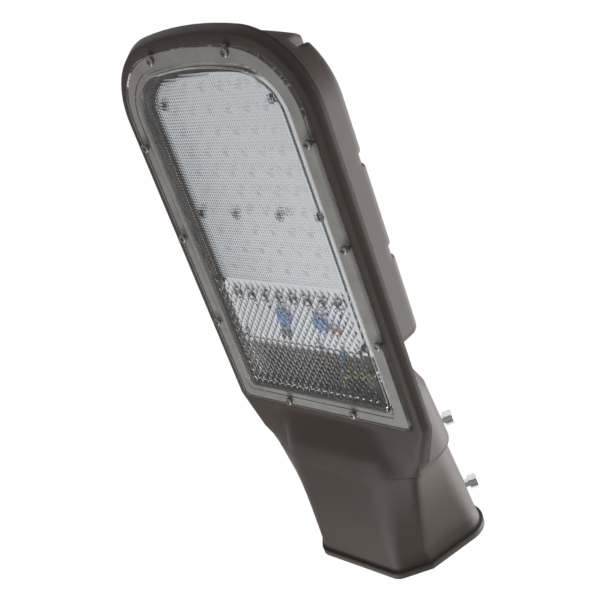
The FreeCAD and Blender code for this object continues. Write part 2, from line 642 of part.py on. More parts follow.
neck_sections = []
for station, flare, rise in (
    ("step_start + overrun", "0", "(-overrun / 2)"),
    ("step_start / 2", "0", "0"),
    ("lip_thick + flare_length", "0", "0"),
    ("lip_thick - overrun / 2", "neck_flare", "0"),
):
    sketch = new_sketch(housing, "XZ_Plane", f"-({station})")
    neck_section(sketch, *neck_at(station, flare, rise))
    neck_sections.append(sketch)
loft(housing, neck_sections)

lip_sketch = new_sketch(housing, "XZ_Plane", "0")
neck_section(lip_sketch, *neck_at("lip_thick", "neck_flare", "lip_rise"))
lip = pad(housing, lip_sketch, "lip_thick")
lip.Reversed = True

# Bosses of the clamp screws on the neck's rear corners
BOSS_ROOT = "(bore_radius + boss_depth)"
CLAMPS = [
    (sign, station, reach)
    for sign in (-1, 1)
    for station, reach in (("clamp_first", "boss_reach_first"), ("clamp_second", "boss_reach_second"))
]


def clamp_place(sign, station, reach):
    """The place on a clamp screw's axis at a distance from the socket axis, with its turn."""
    angle = sign * value("clamp_angle")
    turn = Rotation(Vector(0, 1, 0), angle)
    return Placement(Vector(0, value(station), 0) + turn.multVec(Vector(0, 0, value(reach))), turn)


def clamp_feature(kind, sign, station, start, **sizes):
    """A round boss or hole of the housing along a clamp screw's axis."""
    feature = housing.newObject(kind, "clamp")
    for name, text in sizes.items():
        feature.setExpression(name, formula(text))
    across = f"{sign} * ({start}) * sin(clamp_angle * 1 deg)"
    up = f"({start}) * cos(clamp_angle * 1 deg)"
    turn = f"rotation(vector(0; 1; 0); {sign} * clamp_angle)"
    feature.setExpression("Placement", formula(f"placement(vector({across}; {station}; {up}); {turn})"))


for sign, station, reach in CLAMPS:
    clamp_feature(
        "PartDesign::AdditiveCone", sign, station, BOSS_ROOT,
        Radius1="boss_foot", Radius2="boss_radius", Height=f"{reach} - {BOSS_ROOT}")

# Hollows: lens seat, lamp cavity, wiring well, socket, cable chamber and gland hole
seat_sketch = new_sketch(housing, "XY_Plane", "-rim_drop")
lens_loop(seat_sketch, "lens_gap", "lens_start - lens_gap", "foot_corner + lens_gap")
pocket(housing, seat_sketch, "flange_thick - lens_rise + gasket_thick")

cavity_sketch = new_sketch(housing, "XY_Plane", "-rim_drop")
lens_loop(cavity_sketch, "(-ledge_width)", "lens_start + ledge_width", "foot_corner")
pocket(housing, cavity_sketch, FLOOR)

well_sketch = new_sketch(housing, "XY_Plane", "-rim_drop")
polygon(well_sketch, mirrored([
    ("well_width / 2", "lens_start + ledge_width"),
    ("well_width / 2", "lens_start + ledge_width + well_length"),
]))
pocket(housing, well_sketch, "well_height")

# Pockets beside the socket, which leave a tube for the pole end and an even neck wall
WAIST = neck_at("lip_thick + flare_length", "0")
TUBE = "(bore_radius + socket_wall)"
SIDE_WALL = f"{WAIST[2]} - mouth_wall"
mouth_sketch = new_sketch(housing, "XZ_Plane", "0")
for sign in ("", "-"):
    polygon(mouth_sketch, [(f"{sign}({x})", z) for x, z in (
        (f"{WAIST[0][0]} - mouth_wall / 2", f"{WAIST[0][1]} + 2 * mouth_wall"),
        (f"{WAIST[1][0]} - mouth_wall", f"{WAIST[1][1]} + mouth_wall / 2"),
        (SIDE_WALL, f"{WAIST[3]} - {WAIST[4]} * pocket_crest"),
        (f"{SIDE_WALL} - {WAIST[4]} / 2", f"{WAIST[3]} - mouth_wall * 2"),
        (f"{TUBE} * pocket_shelf", f"{WAIST[3]} - {WAIST[4]}"),
        (TUBE, "bore_radius / 4"),
        (TUBE, "-bore_radius / 5"),
        (f"{TUBE} * pocket_side", f"-({TUBE}) * pocket_dip"),
    )])
pocket(housing, mouth_sketch, "pocket_depth", upwards=False)

bore_sketch = new_sketch(housing, "XZ_Plane", "0")
circles(bore_sketch, [("0", "0")], "bore_radius")
pocket(housing, bore_sketch, "bore_depth", upwards=False)

CHAMBER_END = "lens_start + ledge_width - gland_wall"
chamber_sketch = new_sketch(housing, "XZ_Plane", "-(bore_depth + stop_thick)")
polygon(chamber_sketch, mirrored([
    ("chamber_width / 2 - chamber_foot", "-chamber_floor"),
    ("chamber_width / 2", "chamber_foot - chamber_floor"),
    ("chamber_width / 2", "chamber_top - chamber_slope"),
    ("chamber_width / 2 - chamber_slope", "chamber_top"),
]))
pocket(housing, chamber_sketch, f"{CHAMBER_END} - bore_depth - stop_thick", upwards=False)

passage_sketch = new_sketch(housing, "XZ_Plane", "-(bore_depth - overrun)")
circles(passage_sketch, [("0", "0")], "passage_radius")
pocket(housing, passage_sketch, "stop_thick + 2 * overrun", upwards=False)

gland_sketch = new_sketch(housing, "XZ_Plane", f"-({CHAMBER_END} - overrun)")
circles(gland_sketch, [("-gland_side", "-gland_drop")], "gland_radius + hole_play")
pocket(housing, gland_sketch, "gland_wall + 2 * overrun", upwards=False)

# Screw holes
NOSE_SCREW_Y = (
    "lens_start + lens_length - lens_nose"
    " + sqrt((lens_nose - screw_edge) ^ 2 - screw_nose_side ^ 2)")
LENS_SCREWS = [
    (f"{sign}(lens_width / 2 - screw_edge)", f"lens_start + screw_low + {step} * screw_pitch")
    for sign in ("", "-") for step in range(SIDE_SCREWS)
] + [
    (f"{sign}{side}", y) for sign in ("", "-")
    for side, y in (("screw_nose_side", NOSE_SCREW_Y), ("screw_foot_side", "lens_start + foot_screw_edge"))
]
BOARD_HALF = "lens_width / 2 - board_inset"
BOARD_SCREWS = [
    (f"{sign}{side}", f"lens_start + {row}")
    for sign in ("", "-")
    for side, row in (
        (f"({BOARD_HALF} - board_screw_edge)", "board_screw_row"),
        ("board_screw_inner", "board_screw_row"),
        (f"({BOARD_HALF} - board_screw_top_edge)", "board_screw_top"),
        (f"({BOARD_HALF} - board_screw_foot_edge)", "board_screw_foot"),
    )
]
lens_hole_sketch = new_sketch(housing, "XY_Plane", "-rim_drop")
circles(lens_hole_sketch, LENS_SCREWS, "screw_radius")
pocket(housing, lens_hole_sketch, "screw_length - lens_rise + overrun")
board_hole_sketch = new_sketch(housing, "XY_Plane", "-rim_drop")
circles(board_hole_sketch, BOARD_SCREWS, "screw_radius")
pocket(housing, board_hole_sketch, "board_depth + board_screw_length + overrun / 2")
LUG_SIDE = "(lens_width / 2 - ledge_width - lug_edge)"
EARTH_AT = (f"-{LUG_SIDE}", "lens_start + lug_start")
earth_hole_sketch = new_sketch(housing, "XY_Plane", "-rim_drop")
circles(earth_hole_sketch, [EARTH_AT], "screw_radius")
pocket(housing, earth_hole_sketch, f"{FLOOR} + earth_screw_length - lug_thick + hole_play")
for sign, station, reach in CLAMPS:
    clamp_feature(
        "PartDesign::SubtractiveCylinder", sign, station, "(bore_radius / 2)",
        Radius="clamp_radius", Height=f"{reach} - bore_radius / 2 + overrun")
subparts.append(housing)

# Lens gasket: a flat rubber ring under the lens flange
gasket = new_body("lens_gasket")
GASKET_FACE = "flange_thick - lens_rise - rim_drop"
gasket_sketch = new_sketch(gasket, "XY_Plane", GASKET_FACE)
lens_loop(gasket_sketch, "(-gasket_margin)", "lens_start + gasket_margin", "foot_corner")
lens_loop(
    gasket_sketch, "(gasket_margin - ledge_width)", "lens_start + ledge_width - gasket_margin", "foot_corner")
circles(gasket_sketch, LENS_SCREWS, "screw_radius + hole_play")
pad(gasket, gasket_sketch, "gasket_thick")
subparts.append(gasket)

# Lens cover: clear moulding with a flat flange and a panel that stands proud of it
lens = new_body("lens_cover")
FLANGE_FACE = "-lens_rise - rim_drop"
flange_sketch = new_sketch(lens, "XY_Plane", FLANGE_FACE)
lens_loop(flange_sketch, "0", "lens_start", "foot_corner")
circles(flange_sketch, LENS_SCREWS, "screw_radius + hole_play")
pad(lens, flange_sketch, "flange_thick")
panel_sketch = new_sketch(lens, "XY_Plane", f"{FLANGE_FACE} - panel_rise")
lens_loop(panel_sketch, "(-flange_width)", "lens_start + flange_width", "foot_corner")
pad(lens, panel_sketch, "panel_rise + flange_thick / 2")
recess_sketch = new_sketch(lens, "XY_Plane", f"{FLANGE_FACE} + flange_thick")
PANEL_IN = "flange_width + panel_step"
lens_loop(recess_sketch, f"(-({PANEL_IN}))", f"lens_start + {PANEL_IN}", "foot_corner - panel_step / 2")
pocket(lens, recess_sketch, "flange_thick + panel_rise - panel_thick", upwards=False)
subparts.append(lens)


# Screws: pan heads with a cross recess
def pan_screw(name, length):
    """A pan-head screw that stands on its tip side: head below z = 0, thread above."""
    body = new_body(name)
    thread = new_sketch(body, "XY_Plane", "0")
    circles(thread, [("0", "0")], "screw_radius")
    pad(body, thread, length)
    head = new_sketch(body, "XY_Plane", "-screw_head_height")
    circles(head, [("0", "0")], "screw_head")
    domed = pad(body, head, "screw_head_height")
    face = -value("screw_head_height")
    fillet(body, domed, lambda edge, middle: near(middle.z, face), "screw_head_height * head_dome")
    recess = new_sketch(body, "XY_Plane", "-screw_head_height")
    arm, slit = "screw_head * recess_arm", "screw_head * recess_slit"
    polygon(recess, [
        (slit, arm), (f"-{slit}", arm), (f"-{slit}", slit), (f"-{arm}", slit), (f"-{arm}", f"-{slit}"),
        (f"-{slit}", f"-{slit}"), (f"-{slit}", f"-{arm}"), (slit, f"-{arm}"), (slit, f"-{slit}"),
        (arm, f"-{slit}"), (arm, slit), (slit, slit),
    ])
    pocket(body, recess, "screw_head_height * recess_sink")
    doc.recompute()
    return body


def upright(places, height):
    return [Placement(Vector(value(x), value(y), value(height)), Rotation()) for x, y in places]


lens_screw = pan_screw("lens_screw_pattern", "screw_length")
subparts.append(solids_at("lens_screws", lens_screw.Shape, upright(LENS_SCREWS, FLANGE_FACE)))
BOARD_FACE = "board_depth - rim_drop"
board_screw = pan_screw("board_screw_pattern", "board_screw_length")
subparts.append(solids_at("board_screws", board_screw.Shape, upright(BOARD_SCREWS, BOARD_FACE)))

# Diode board: white-faced metal plate that lies on the cavity floor
board = new_body("led_board")
board_sketch = new_sketch(board, "XY_Plane", BOARD_FACE)
lens_loop(board_sketch, "(-board_inset)", "lens_start + board_start", "foot_corner / 2")
circles(board_sketch, BOARD_SCREWS, "screw_radius + hole_play")
pad(board, board_sketch, "board_thick")
subparts.append(board)


def block(name, width, length, height):
    """A box in the middle of its place, with its back on z = 0 and its face towards -Z."""
    item = doc.addObject("Part::Box", name)
    for edge, text in (("Length", width), ("Width", length), ("Height", height)):
        item.setExpression(edge, formula(text))
    for axis, text in (("x", f"-({width}) / 2"), ("y", f"-({length}) / 2"), ("z", f"-({height})")):
        item.setExpression(f"Placement.Base.{axis}", formula(text))
    doc.recompute()
    return item


# Diodes in rows over the upper board
diode = block("diode_pattern", "diode_width", "diode_length", "diode_height")
DIODE_X = [f"{column - (DIODE_COLUMNS - 1) / 2} * diode_pitch_x" for column in range(DIODE_COLUMNS)]
DIODE_Y = [f"lens_start + diode_start + {step} * diode_pitch_y" for step in range(DIODE_ROWS)]
DIODES = [(x, y) for y in DIODE_Y for x in DIODE_X]
subparts.append(solids_at("led_chips", diode.Shape, upright(DIODES, BOARD_FACE)))

# Driver chips in one row below the diodes
chip = block("chip_pattern", "chip_size", "chip_size", "chip_height")
CHIPS = [
    (f"{step - (CHIP_COUNT - 1) / 2} * chip_pitch", "lens_start + chip_start") for step in range(CHIP_COUNT)
]
subparts.append(solids_at("driver_chips", chip.Shape, upright(CHIPS, BOARD_FACE)))

# Sense resistors, one below each driver chip
sense = block("sense_pattern", "sense_width", "sense_length", "sense_height")
SENSES = [(x, f"{y} - sense_step") for x, y in CHIPS]
subparts.append(solids_at("sense_resistors", sense.Shape, upright(SENSES, BOARD_FACE)))


# Varistors: discs folded flat on the board
def varistor(label, x, y):
    body = new_body(label)
    sketch = new_sketch(body, "XY_Plane", f"{BOARD_FACE} - varistor_thick")
    circles(sketch, [(x, y)], "varistor_radius")
    disc = pad(body, sketch, "varistor_thick")
    fillet(body, disc, lambda edge, middle: edge.Length > value("varistor_radius * 4"), "varistor_round")
    subparts.append(body)


varistor("varistor_left", "varistor_left_side", "lens_start + varistor_left_start")
varistor("varistor_right", "-varistor_right_side", "lens_start + varistor_right_start")

# Bridge rectifier by the left varistor
rectifier = block("bridge_rectifier", "rectifier_width", "rectifier_length", "rectifier_height")
for axis, text in (
    ("x", "rectifier_side - rectifier_width / 2"),
    ("y", "lens_start + rectifier_start - rectifier_length / 2"),
    ("z", f"{BOARD_FACE} - rectifier_height"),
):
    rectifier.setExpression(f"Placement.Base.{axis}", formula(text))
subparts.append(rectifier)

# Fuse resistor: a small round body that lies across the board
fuse = doc.addObject("Part::Cylinder", "fuse_resistor")
fuse.setExpression("Radius", formula("fuse_radius"))
fuse.setExpression("Height", formula("fuse_length"))
fuse_end = f"vector(-fuse_side - fuse_length / 2; lens_start + fuse_start; {BOARD_FACE} - fuse_radius)"
fuse.setExpression("Placement", formula(f"placement({fuse_end}; rotation(vector(0; 1; 0); 90))"))
subparts.append(fuse)

# Cable gland: body with a hexagon in the cable chamber, locknut in the wiring well, cap and seal
GLAND_AT = ("-gland_side", "-gland_drop")
HEXAGON = ((1, 0), (0.5, 1), (-0.5, 1), (-1, 0), (-0.5, -1), (0.5, -1))


def hexagon(sketch, flats):
    """A regular hexagon round the gland's axis, with flats above and below."""
    side = f"({flats}) / sqrt(3)"
    polygon(sketch, [
        (f"{GLAND_AT[0]} + {across} * {side}", f"{GLAND_AT[1]} + {up} * ({flats}) / 2")
        for across, up in HEXAGON
    ])


def along(body, start, outline, size, length, cut=False):
    """A pad or a cut on the gland's axis, from a place along +Y."""
    sketch = new_sketch(body, "XZ_Plane", f"-({start})")
    if outline == "hexagon":
        hexagon(sketch, size)
    else:
        circles(sketch, [GLAND_AT], size)
    if cut:
        return pocket(body, sketch, length, upwards=False)
    feature = pad(body, sketch, length)
    feature.Reversed = True
    return feature


WELL_FACE = f"({CHAMBER_END} + gland_wall)"
FLANGE_START = f"({CHAMBER_END} - gland_flange)"
CAP_START = f"({FLANGE_START} - gland_cap)"
TAIL_START = f"({CAP_START} + 2 * gland_skirt)"
gland_body = new_body("gland_body")
along(gland_body, FLANGE_START, "hexagon", "gland_hex", "gland_flange")
along(gland_body, CHAMBER_END, "round", "gland_radius", "gland_wall + gland_nut + overrun")
along(gland_body, TAIL_START, "round", "gland_radius", "gland_cap - 2 * gland_skirt")
along(gland_body, CAP_START, "round", "cable_radius", f"{WELL_FACE} - {CAP_START} + 2 * gland_nut", cut=True)
subparts.append(gland_body)

gland_nut = new_body("gland_nut")
along(gland_nut, WELL_FACE, "hexagon", "gland_hex", "gland_nut")
along(gland_nut, f"{WELL_FACE} - overrun", "round", "gland_radius", "gland_nut + 2 * overrun", cut=True)
subparts.append(gland_nut)

gland_cap = new_body("gland_cap")
along(gland_cap, CAP_START, "hexagon", "gland_hex", "gland_cap")
along(gland_cap, f"{CAP_START} + gland_skirt", "round", "gland_radius", "gland_cap", cut=True)
along(gland_cap, f"{CAP_START} - overrun", "round", "cable_radius + hole_play", "gland_cap", cut=True)
subparts.append(gland_cap)

gland_seal = new_body("gland_seal")
along(gland_seal, f"{CAP_START} + gland_skirt", "round", "gland_radius - hole_play", "gland_skirt")
along(gland_seal, CAP_START, "round", "cable_radius", "gland_cap", cut=True)
subparts.append(gland_seal)

# Earth point: ring lug and screw on the cavity floor beside the well
FLOOR_FACE = f"({FLOOR} - rim_drop)"
lug = new_body("earth_lug")
lug_sketch = new_sketch(lug, "XY_Plane", f"{FLOOR_FACE} - lug_thick")
circles(lug_sketch, [EARTH_AT], "lug_radius")
circles(lug_sketch, [EARTH_AT], "screw_radius + hole_play")
pad(lug, lug_sketch, "lug_thick")
tail_sketch = new_sketch(lug, "XY_Plane", f"{FLOOR_FACE} - lug_thick")
tail_low, tail_high = (f"lens_start + lug_start {sign} wire_radius" for sign in "-+")
tail_in, tail_out = (f"{along_x} - {LUG_SIDE}" for along_x in ("lug_radius * lug_overlap", "lug_tail"))
polygon(tail_sketch, [
    (tail_in, tail_low), (tail_out, tail_low), (tail_out, tail_high), (tail_in, tail_high),
])
pad(lug, tail_sketch, "lug_thick")
subparts.append(lug)
earth_pattern = pan_screw("earth_screw_pattern", "earth_screw_length")
earth_place = upright([EARTH_AT], f"{FLOOR_FACE} - lug_thick")
subparts.append(solids_at("earth_screw", earth_pattern.Shape, earth_place))

# Leads: straight runs joined by the largest tangent arcs that they leave room for
BEND_SHARE = 0.45


def lead(label, route):
    """A round lead along a route of points given as expressions."""
    points = [Vector(*(value(text) for text in point)) for point in route]
    edges = []
    start = points[0]
    for before, corner, after in zip(points, points[1:], points[2:]):
        inward, outward = before - corner, after - corner
        reach = BEND_SHARE * min(inward.Length, outward.Length)
        inward.normalize()
        outward.normalize()
        enter, leave = corner + inward * reach, corner + outward * reach
        half_turn = (math.pi - inward.getAngle(outward)) / 2
        radius = reach / math.tan(half_turn)
        bisector = (inward + outward).normalize()
        inside = corner + bisector * (math.hypot(reach, radius) - radius)
        print(label, "bend radius", round(radius, 1))
        edges.append(Part.LineSegment(start, enter).toShape())
        edges.append(Part.Arc(enter, inside, leave).toShape())
        start = leave
    edges.append(Part.LineSegment(start, points[-1]).toShape())
    path = Part.Wire(edges)
    section = Part.Wire(Part.makeCircle(value("wire_radius"), points[0], points[1] - points[0]))
    item = doc.addObject("Part::Feature", label)
    item.Label = label
    item.Shape = path.makePipeShell([section], True, True)
    expected = math.pi * value("wire_radius") ** 2 * path.Length
    print(label, "volume over section times length", round(item.Shape.Volume / expected, 3))
    subparts.append(item)


BOARD_EDGE = "lens_start + board_start"
NUT_END = f"({WELL_FACE} + gland_nut)"
ON_BOARD = f"({BOARD_FACE} - wire_radius)"
ON_LUG = f"({FLOOR_FACE} - lug_thick - wire_radius)"
for label, side, end in (("live_wire", "+", "live_side"), ("neutral_wire", "-", "neutral_side")):
    out = f"({side}wire_spread - gland_side)"
    shift = f"(-{end} - {out})"
    lead(label, (
        (out, CHAMBER_END, "wire_lift - gland_drop"),
        (out, f"{NUT_END} + wire_straight", "wire_lift - gland_drop"),
        (f"{out} + {shift} * wire_early", f"{NUT_END} + wire_straight + wire_run", "-gland_drop - wire_dip"),
        (f"{out} + {shift} * wire_late", f"{BOARD_EDGE} - 2 * wire_hop", f"{ON_BOARD} - wire_hop"),
        (f"-{end}", f"{BOARD_EDGE} + wire_landing / 4", ON_BOARD),
        (f"-{end}", f"{BOARD_EDGE} + wire_landing", ON_BOARD),
    ))
lead("earth_wire", (
    ("-gland_side", CHAMBER_END, "-wire_drop - gland_drop"),
    ("-gland_side", f"{NUT_END} + wire_turn", "-wire_drop - gland_drop"),
    ("-gland_side - wire_run", f"{NUT_END} + 2 * wire_turn", f"{ON_LUG} + wire_radius"),
    (f"2 * lug_tail - {LUG_SIDE}", EARTH_AT[1], ON_LUG),
    (f"2 * lug_radius * lug_overlap - {LUG_SIDE}", EARTH_AT[1], ON_LUG),
))

# Clamp screws: cap heads with a key socket, shown let out of an empty socket
clamp = new_body("clamp_screw_pattern")
shank_sketch = new_sketch(clamp, "XY_Plane", "-clamp_length")
circles(shank_sketch, [("0", "0")], "clamp_radius")
pad(clamp, shank_sketch, "clamp_length")
cap_sketch = new_sketch(clamp, "XY_Plane", "0")
circles(cap_sketch, [("0", "0")], "clamp_head")
capped = pad(clamp, cap_sketch, "clamp_head_height")
cap_top = value("clamp_head_height")
fillet(clamp, capped, lambda edge, middle: near(middle.z, cap_top), "clamp_head_height / 10")
key_sketch = new_sketch(clamp, "XY_Plane", "clamp_head_height")
polygon(key_sketch, [(f"{x} * 2 * clamp_socket / sqrt(3)", f"{y} * clamp_socket") for x, y in HEXAGON])
pocket(clamp, key_sketch, "clamp_key_depth", upwards=False)
doc.recompute()
subparts.append(solids_at("clamp_screws", clamp.Shape, [
    clamp_place(sign, station, f"{reach} + clamp_stand") for sign, station, reach in CLAMPS
]))


def check_and_write():
    """Stop on any failed object or bad shape, then write one file for each sub-part."""
    doc.recompute()
    for item in doc.Objects:
        if "Invalid" in item.State or "Error" in item.State:
            raise RuntimeError(f"{item.Name} ({item.Label}) failed: {item.State}")
    for part in subparts:
        if part.Shape.isNull() or not part.Shape.isValid():
            raise RuntimeError(f"{part.Label} has no valid shape")
    os.makedirs("parts", exist_ok=True)
    for part in subparts:
        part.Shape.exportStep(f"parts/{part.Label}.step")
        print(part.Label, len(part.Shape.Solids), round(part.Shape.Volume, 1))


check_and_write()
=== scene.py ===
import math

import bmesh
import bpy
from mathutils import Matrix, Vector
from mathutils.geometry import delaunay_2d_cdt


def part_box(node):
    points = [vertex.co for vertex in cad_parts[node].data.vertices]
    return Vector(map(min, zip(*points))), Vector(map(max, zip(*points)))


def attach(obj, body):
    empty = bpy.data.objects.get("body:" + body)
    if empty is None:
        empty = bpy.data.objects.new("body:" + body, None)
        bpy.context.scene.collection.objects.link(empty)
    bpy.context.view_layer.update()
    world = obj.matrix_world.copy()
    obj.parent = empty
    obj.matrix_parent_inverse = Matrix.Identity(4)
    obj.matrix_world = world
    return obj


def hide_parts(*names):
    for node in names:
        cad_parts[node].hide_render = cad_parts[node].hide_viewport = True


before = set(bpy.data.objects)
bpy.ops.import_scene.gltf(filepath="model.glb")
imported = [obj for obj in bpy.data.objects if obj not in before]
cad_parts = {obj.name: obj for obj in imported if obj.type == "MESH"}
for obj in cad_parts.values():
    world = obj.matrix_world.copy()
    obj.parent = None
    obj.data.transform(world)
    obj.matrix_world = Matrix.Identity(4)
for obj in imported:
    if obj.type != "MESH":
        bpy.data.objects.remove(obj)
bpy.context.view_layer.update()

scene = bpy.context.scene
scene.view_settings.view_transform = "Standard"
MM = 0.001

# Viewpoint: the lamp is seen from below and from its nose, as if it hung by its neck.
# The place, the turn and the lens come from the photograph's perspective.
VIEW_FROM = Vector((-0.474574, 0.477870, -0.388311))
VIEW_RIGHT = Vector((-0.701050, -0.317544, 0.638509))
VIEW_UP = Vector((0.086750, 0.850759, 0.518347))
VIEW_SENSOR = 36.0
VIEW_LENS = 63.642
VIEW_NEAR = 0.01
camera_data = bpy.data.cameras.new("camera")
camera_data.sensor_width = VIEW_SENSOR
camera_data.lens = VIEW_LENS
camera_data.clip_start = VIEW_NEAR
camera = bpy.data.objects.new("camera", camera_data)
scene.collection.objects.link(camera)
axes = Matrix((VIEW_RIGHT, VIEW_UP, VIEW_RIGHT.cross(VIEW_UP))).transposed()
camera.matrix_world = Matrix.Translation(VIEW_FROM) @ axes.to_4x4()
scene.camera = camera


# Studio: a pale floor far below the part, a broad lamp high on one side and a weak one at the neck.
# Rays from the camera, off mirrors and through glass see a white room; the rest see its soft light.
class Socket:
    """A shader value that adds its own Math nodes when it is used in a sum."""

    def __init__(self, tree, socket):
        self.tree = tree
        self.socket = socket

    def math(self, operation, other=0.0, swap=False):
        values = (other, self) if swap else (self, other)
        return self.tree.node("ShaderNodeMath", {"operation": operation}, dict(enumerate(values)))

    def __add__(self, other):
        return self.math("ADD", other)

    def __sub__(self, other):
        return self.math("SUBTRACT", other)

    def __rsub__(self, other):
        return self.math("SUBTRACT", other, swap=True)

    def __mul__(self, other):
        return self.math("MULTIPLY", other)

    def __truediv__(self, other):
        return self.math("DIVIDE", other)

    def __lt__(self, other):
        return self.math("LESS_THAN", other)

    def larger(self, other):
        return self.math("MAXIMUM", other)

    def smaller(self, other):
        return self.math("MINIMUM", other)

    def fraction(self):
        return self.math("FRACT")

    def size(self):
        return self.math("ABSOLUTE")

    __radd__ = __add__
    __rmul__ = __mul__


class Recipe:
    """The nodes of one material, or of the world, with a short way to add and link them."""

    def __init__(self, owner, output):
        owner.use_nodes = True
        self.nodes = owner.node_tree.nodes
        self.links = owner.node_tree.links
        self.nodes.clear()
        self.output = self.nodes.new(output)

    def node(self, kind, settings=None, inputs=None, out=0):
        """A new node, of which one output is given back."""
        node = self.nodes.new(kind)
        for name, setting in (settings or {}).items():
            setattr(node, name, setting)
        for name, given in (inputs or {}).items():
            self.feed(node.inputs[name], given)
        return Socket(self, node.outputs[out])

    def feed(self, target, given):
        """Link or set one input; colours get a full alpha."""
        if isinstance(given, Socket):
            self.links.new(given.socket, target)
        elif isinstance(given, tuple) and len(given) == 3 and target.type == "RGBA":
            target.default_value = (*given, 1.0)
        else:
            target.default_value = given

    def ramp(self, value, stops):
        """A colour ramp through (place, colour) stops."""
        socket = self.node("ShaderNodeValToRGB", inputs={"Fac": value})
        elements = socket.socket.node.color_ramp.elements
        while len(elements) < len(stops):
            elements.new(1.0)
        for element, (place, colour) in zip(elements, stops):
            element.position = place
            element.color = (*colour, 1.0)
        return socket

    def blend(self, share, first, second):
        """A mix of two colours."""
        return self.node(
            "ShaderNodeMix", {"data_type": "RGBA"}, {"Factor": share, 6: first, 7: second}, out=2)

    def any_ray(self, *kinds):
        """1 for rays of any of these kinds."""
        found, *others = (self.node("ShaderNodeLightPath", out=kind) for kind in kinds)
        for other in others:
            found = found.larger(other)
        return found

    def finish(self, shader):
        self.links.new(shader.socket, self.output.inputs["Surface"])

    def surface(self, inputs):
        """End with one Principled surface."""
        self.finish(self.node("ShaderNodeBsdfPrincipled", inputs=inputs))


def new_recipe(name):
    """A new material and the recipe for its nodes."""
    material = bpy.data.materials.new(name)
    return material, Recipe(material, "ShaderNodeOutputMaterial")


ROOM_LIGHT = (0.21, 0.21, 0.215)
ROOM_WHITE = (1.0, 1.0, 1.0)
world = bpy.data.worlds.new("room")
scene.world = world
room = Recipe(world, "ShaderNodeOutputWorld")
seen = room.any_ray("Is Camera Ray", "Is Glossy Ray", "Is Transmission Ray")
soft = room.node("ShaderNodeBackground", inputs={"Color": ROOM_LIGHT, "Strength": 1.0})
white = room.node("ShaderNodeBackground", inputs={"Color": ROOM_WHITE, "Strength": 1.0})
room.finish(room.node("ShaderNodeMixShader", inputs={0: seen, 1: soft, 2: white}))

# Each lamp's name, place, width and power.
LAMPS = (
    ("side_lamp", (-0.90, -0.4, 1.4), 1.5, 66.0),
    ("neck_lamp", (0.15, -0.45, -0.6), 0.5, 4.2),
)
LAMP_AIM = Vector((0.0, 0.16, 0.0))
for lamp_name, place, width, power in LAMPS:
    lamp_data = bpy.data.lights.new(lamp_name, "AREA")
    lamp_data.size = width
    lamp_data.energy = power
    lamp = bpy.data.objects.new(lamp_name, lamp_data)
    scene.collection.objects.link(lamp)
    away = (Vector(place) - LAMP_AIM).normalized()
    turn = away.to_track_quat("Z", "Y").to_matrix()
    lamp.matrix_world = Matrix.Translation(place) @ turn.to_4x4()

SQUARE = ((-1, -1), (1, -1), (1, 1), (-1, 1))
FLOOR_DROP = -1.6
FLOOR_HALF = 6.0
FLOOR_PALE = (0.74, 0.74, 0.74)
floor_mesh = bpy.data.meshes.new("floor")
floor_mesh.from_pydata(
    [(x * FLOOR_HALF, y * FLOOR_HALF, FLOOR_DROP) for x, y in SQUARE], [], [(0, 1, 2, 3)])
floor = bpy.data.objects.new("floor", floor_mesh)
scene.collection.objects.link(floor)
floor_paint, recipe = new_recipe("floor_paint")
recipe.finish(recipe.node("ShaderNodeBsdfDiffuse", inputs={"Color": FLOOR_PALE}))
floor_mesh.materials.append(floor_paint)


# Housing: one aluminium die casting with cooling ribs, neck and pole socket, powder-coated brown.
# The coat is matt with a fine orange peel, and it thins and rubs paler along the edges.
BEVEL_SAMPLES = 8
CLOUD_SPAN = (0.35, 0.65)


def finish_node(node, material):
    """Give a CAD node's mesh one material."""
    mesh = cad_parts[node].data
    mesh.materials.clear()
    mesh.materials.append(material)


def softened(recipe, reach):
    """The surface's direction with its edges rounded over within reach."""
    return recipe.node("ShaderNodeBevel", {"samples": BEVEL_SAMPLES}, {"Radius": reach})


def edge_mask(recipe, reach):
    """0 on open faces, and rising towards an edge within reach."""
    plain = recipe.node("ShaderNodeNewGeometry", out="Normal")
    along = recipe.node(
        "ShaderNodeVectorMath", {"operation": "DOT_PRODUCT"},
        {0: softened(recipe, reach), 1: plain}, out="Value")
    return 1.0 - along


def noise(recipe, scale, detail=2.0):
    """A cloudy value from 0 to 1 that stays with the piece."""
    place = recipe.node("ShaderNodeTexCoord", out="Object")
    return recipe.node(
        "ShaderNodeTexNoise", inputs={"Vector": place, "Scale": scale, "Detail": detail}, out="Fac")


def along_axis(recipe, axis):
    """One of the piece's own coordinates."""
    place = recipe.node("ShaderNodeTexCoord", out="Object")
    return recipe.node("ShaderNodeSeparateXYZ", inputs={0: place}, out=axis)


def fade(recipe, axis, start, end):
    """A value that rises from 0 at start to 1 at end along an axis, either way round."""
    return recipe.node("ShaderNodeMapRange", inputs={
        "Value": along_axis(recipe, axis), "From Min": start, "From Max": end})


def clouded(recipe, cloud, deep, pale):
    """A colour that drifts from deep to pale with a cloud's value."""
    return recipe.ramp(cloud, tuple(zip(CLOUD_SPAN, (deep, pale))))


def bumped(recipe, height, strength, depth, base=None):
    """The surface's direction with a fine relief, over a base direction where one is given."""
    inputs = {"Strength": strength, "Distance": depth, "Height": height}
    if base is not None:
        inputs["Normal"] = base
    return recipe.node("ShaderNodeBump", inputs=inputs)


COAT_BROWN = (0.073, 0.056, 0.049)
COAT_DEEP = (0.063, 0.047, 0.041)
COAT_RUBBED = (0.150, 0.126, 0.112)
COAT_ROUGH = 0.46
COAT_ROUGH_DRIFT = 0.12
COAT_SPECULAR = 0.2
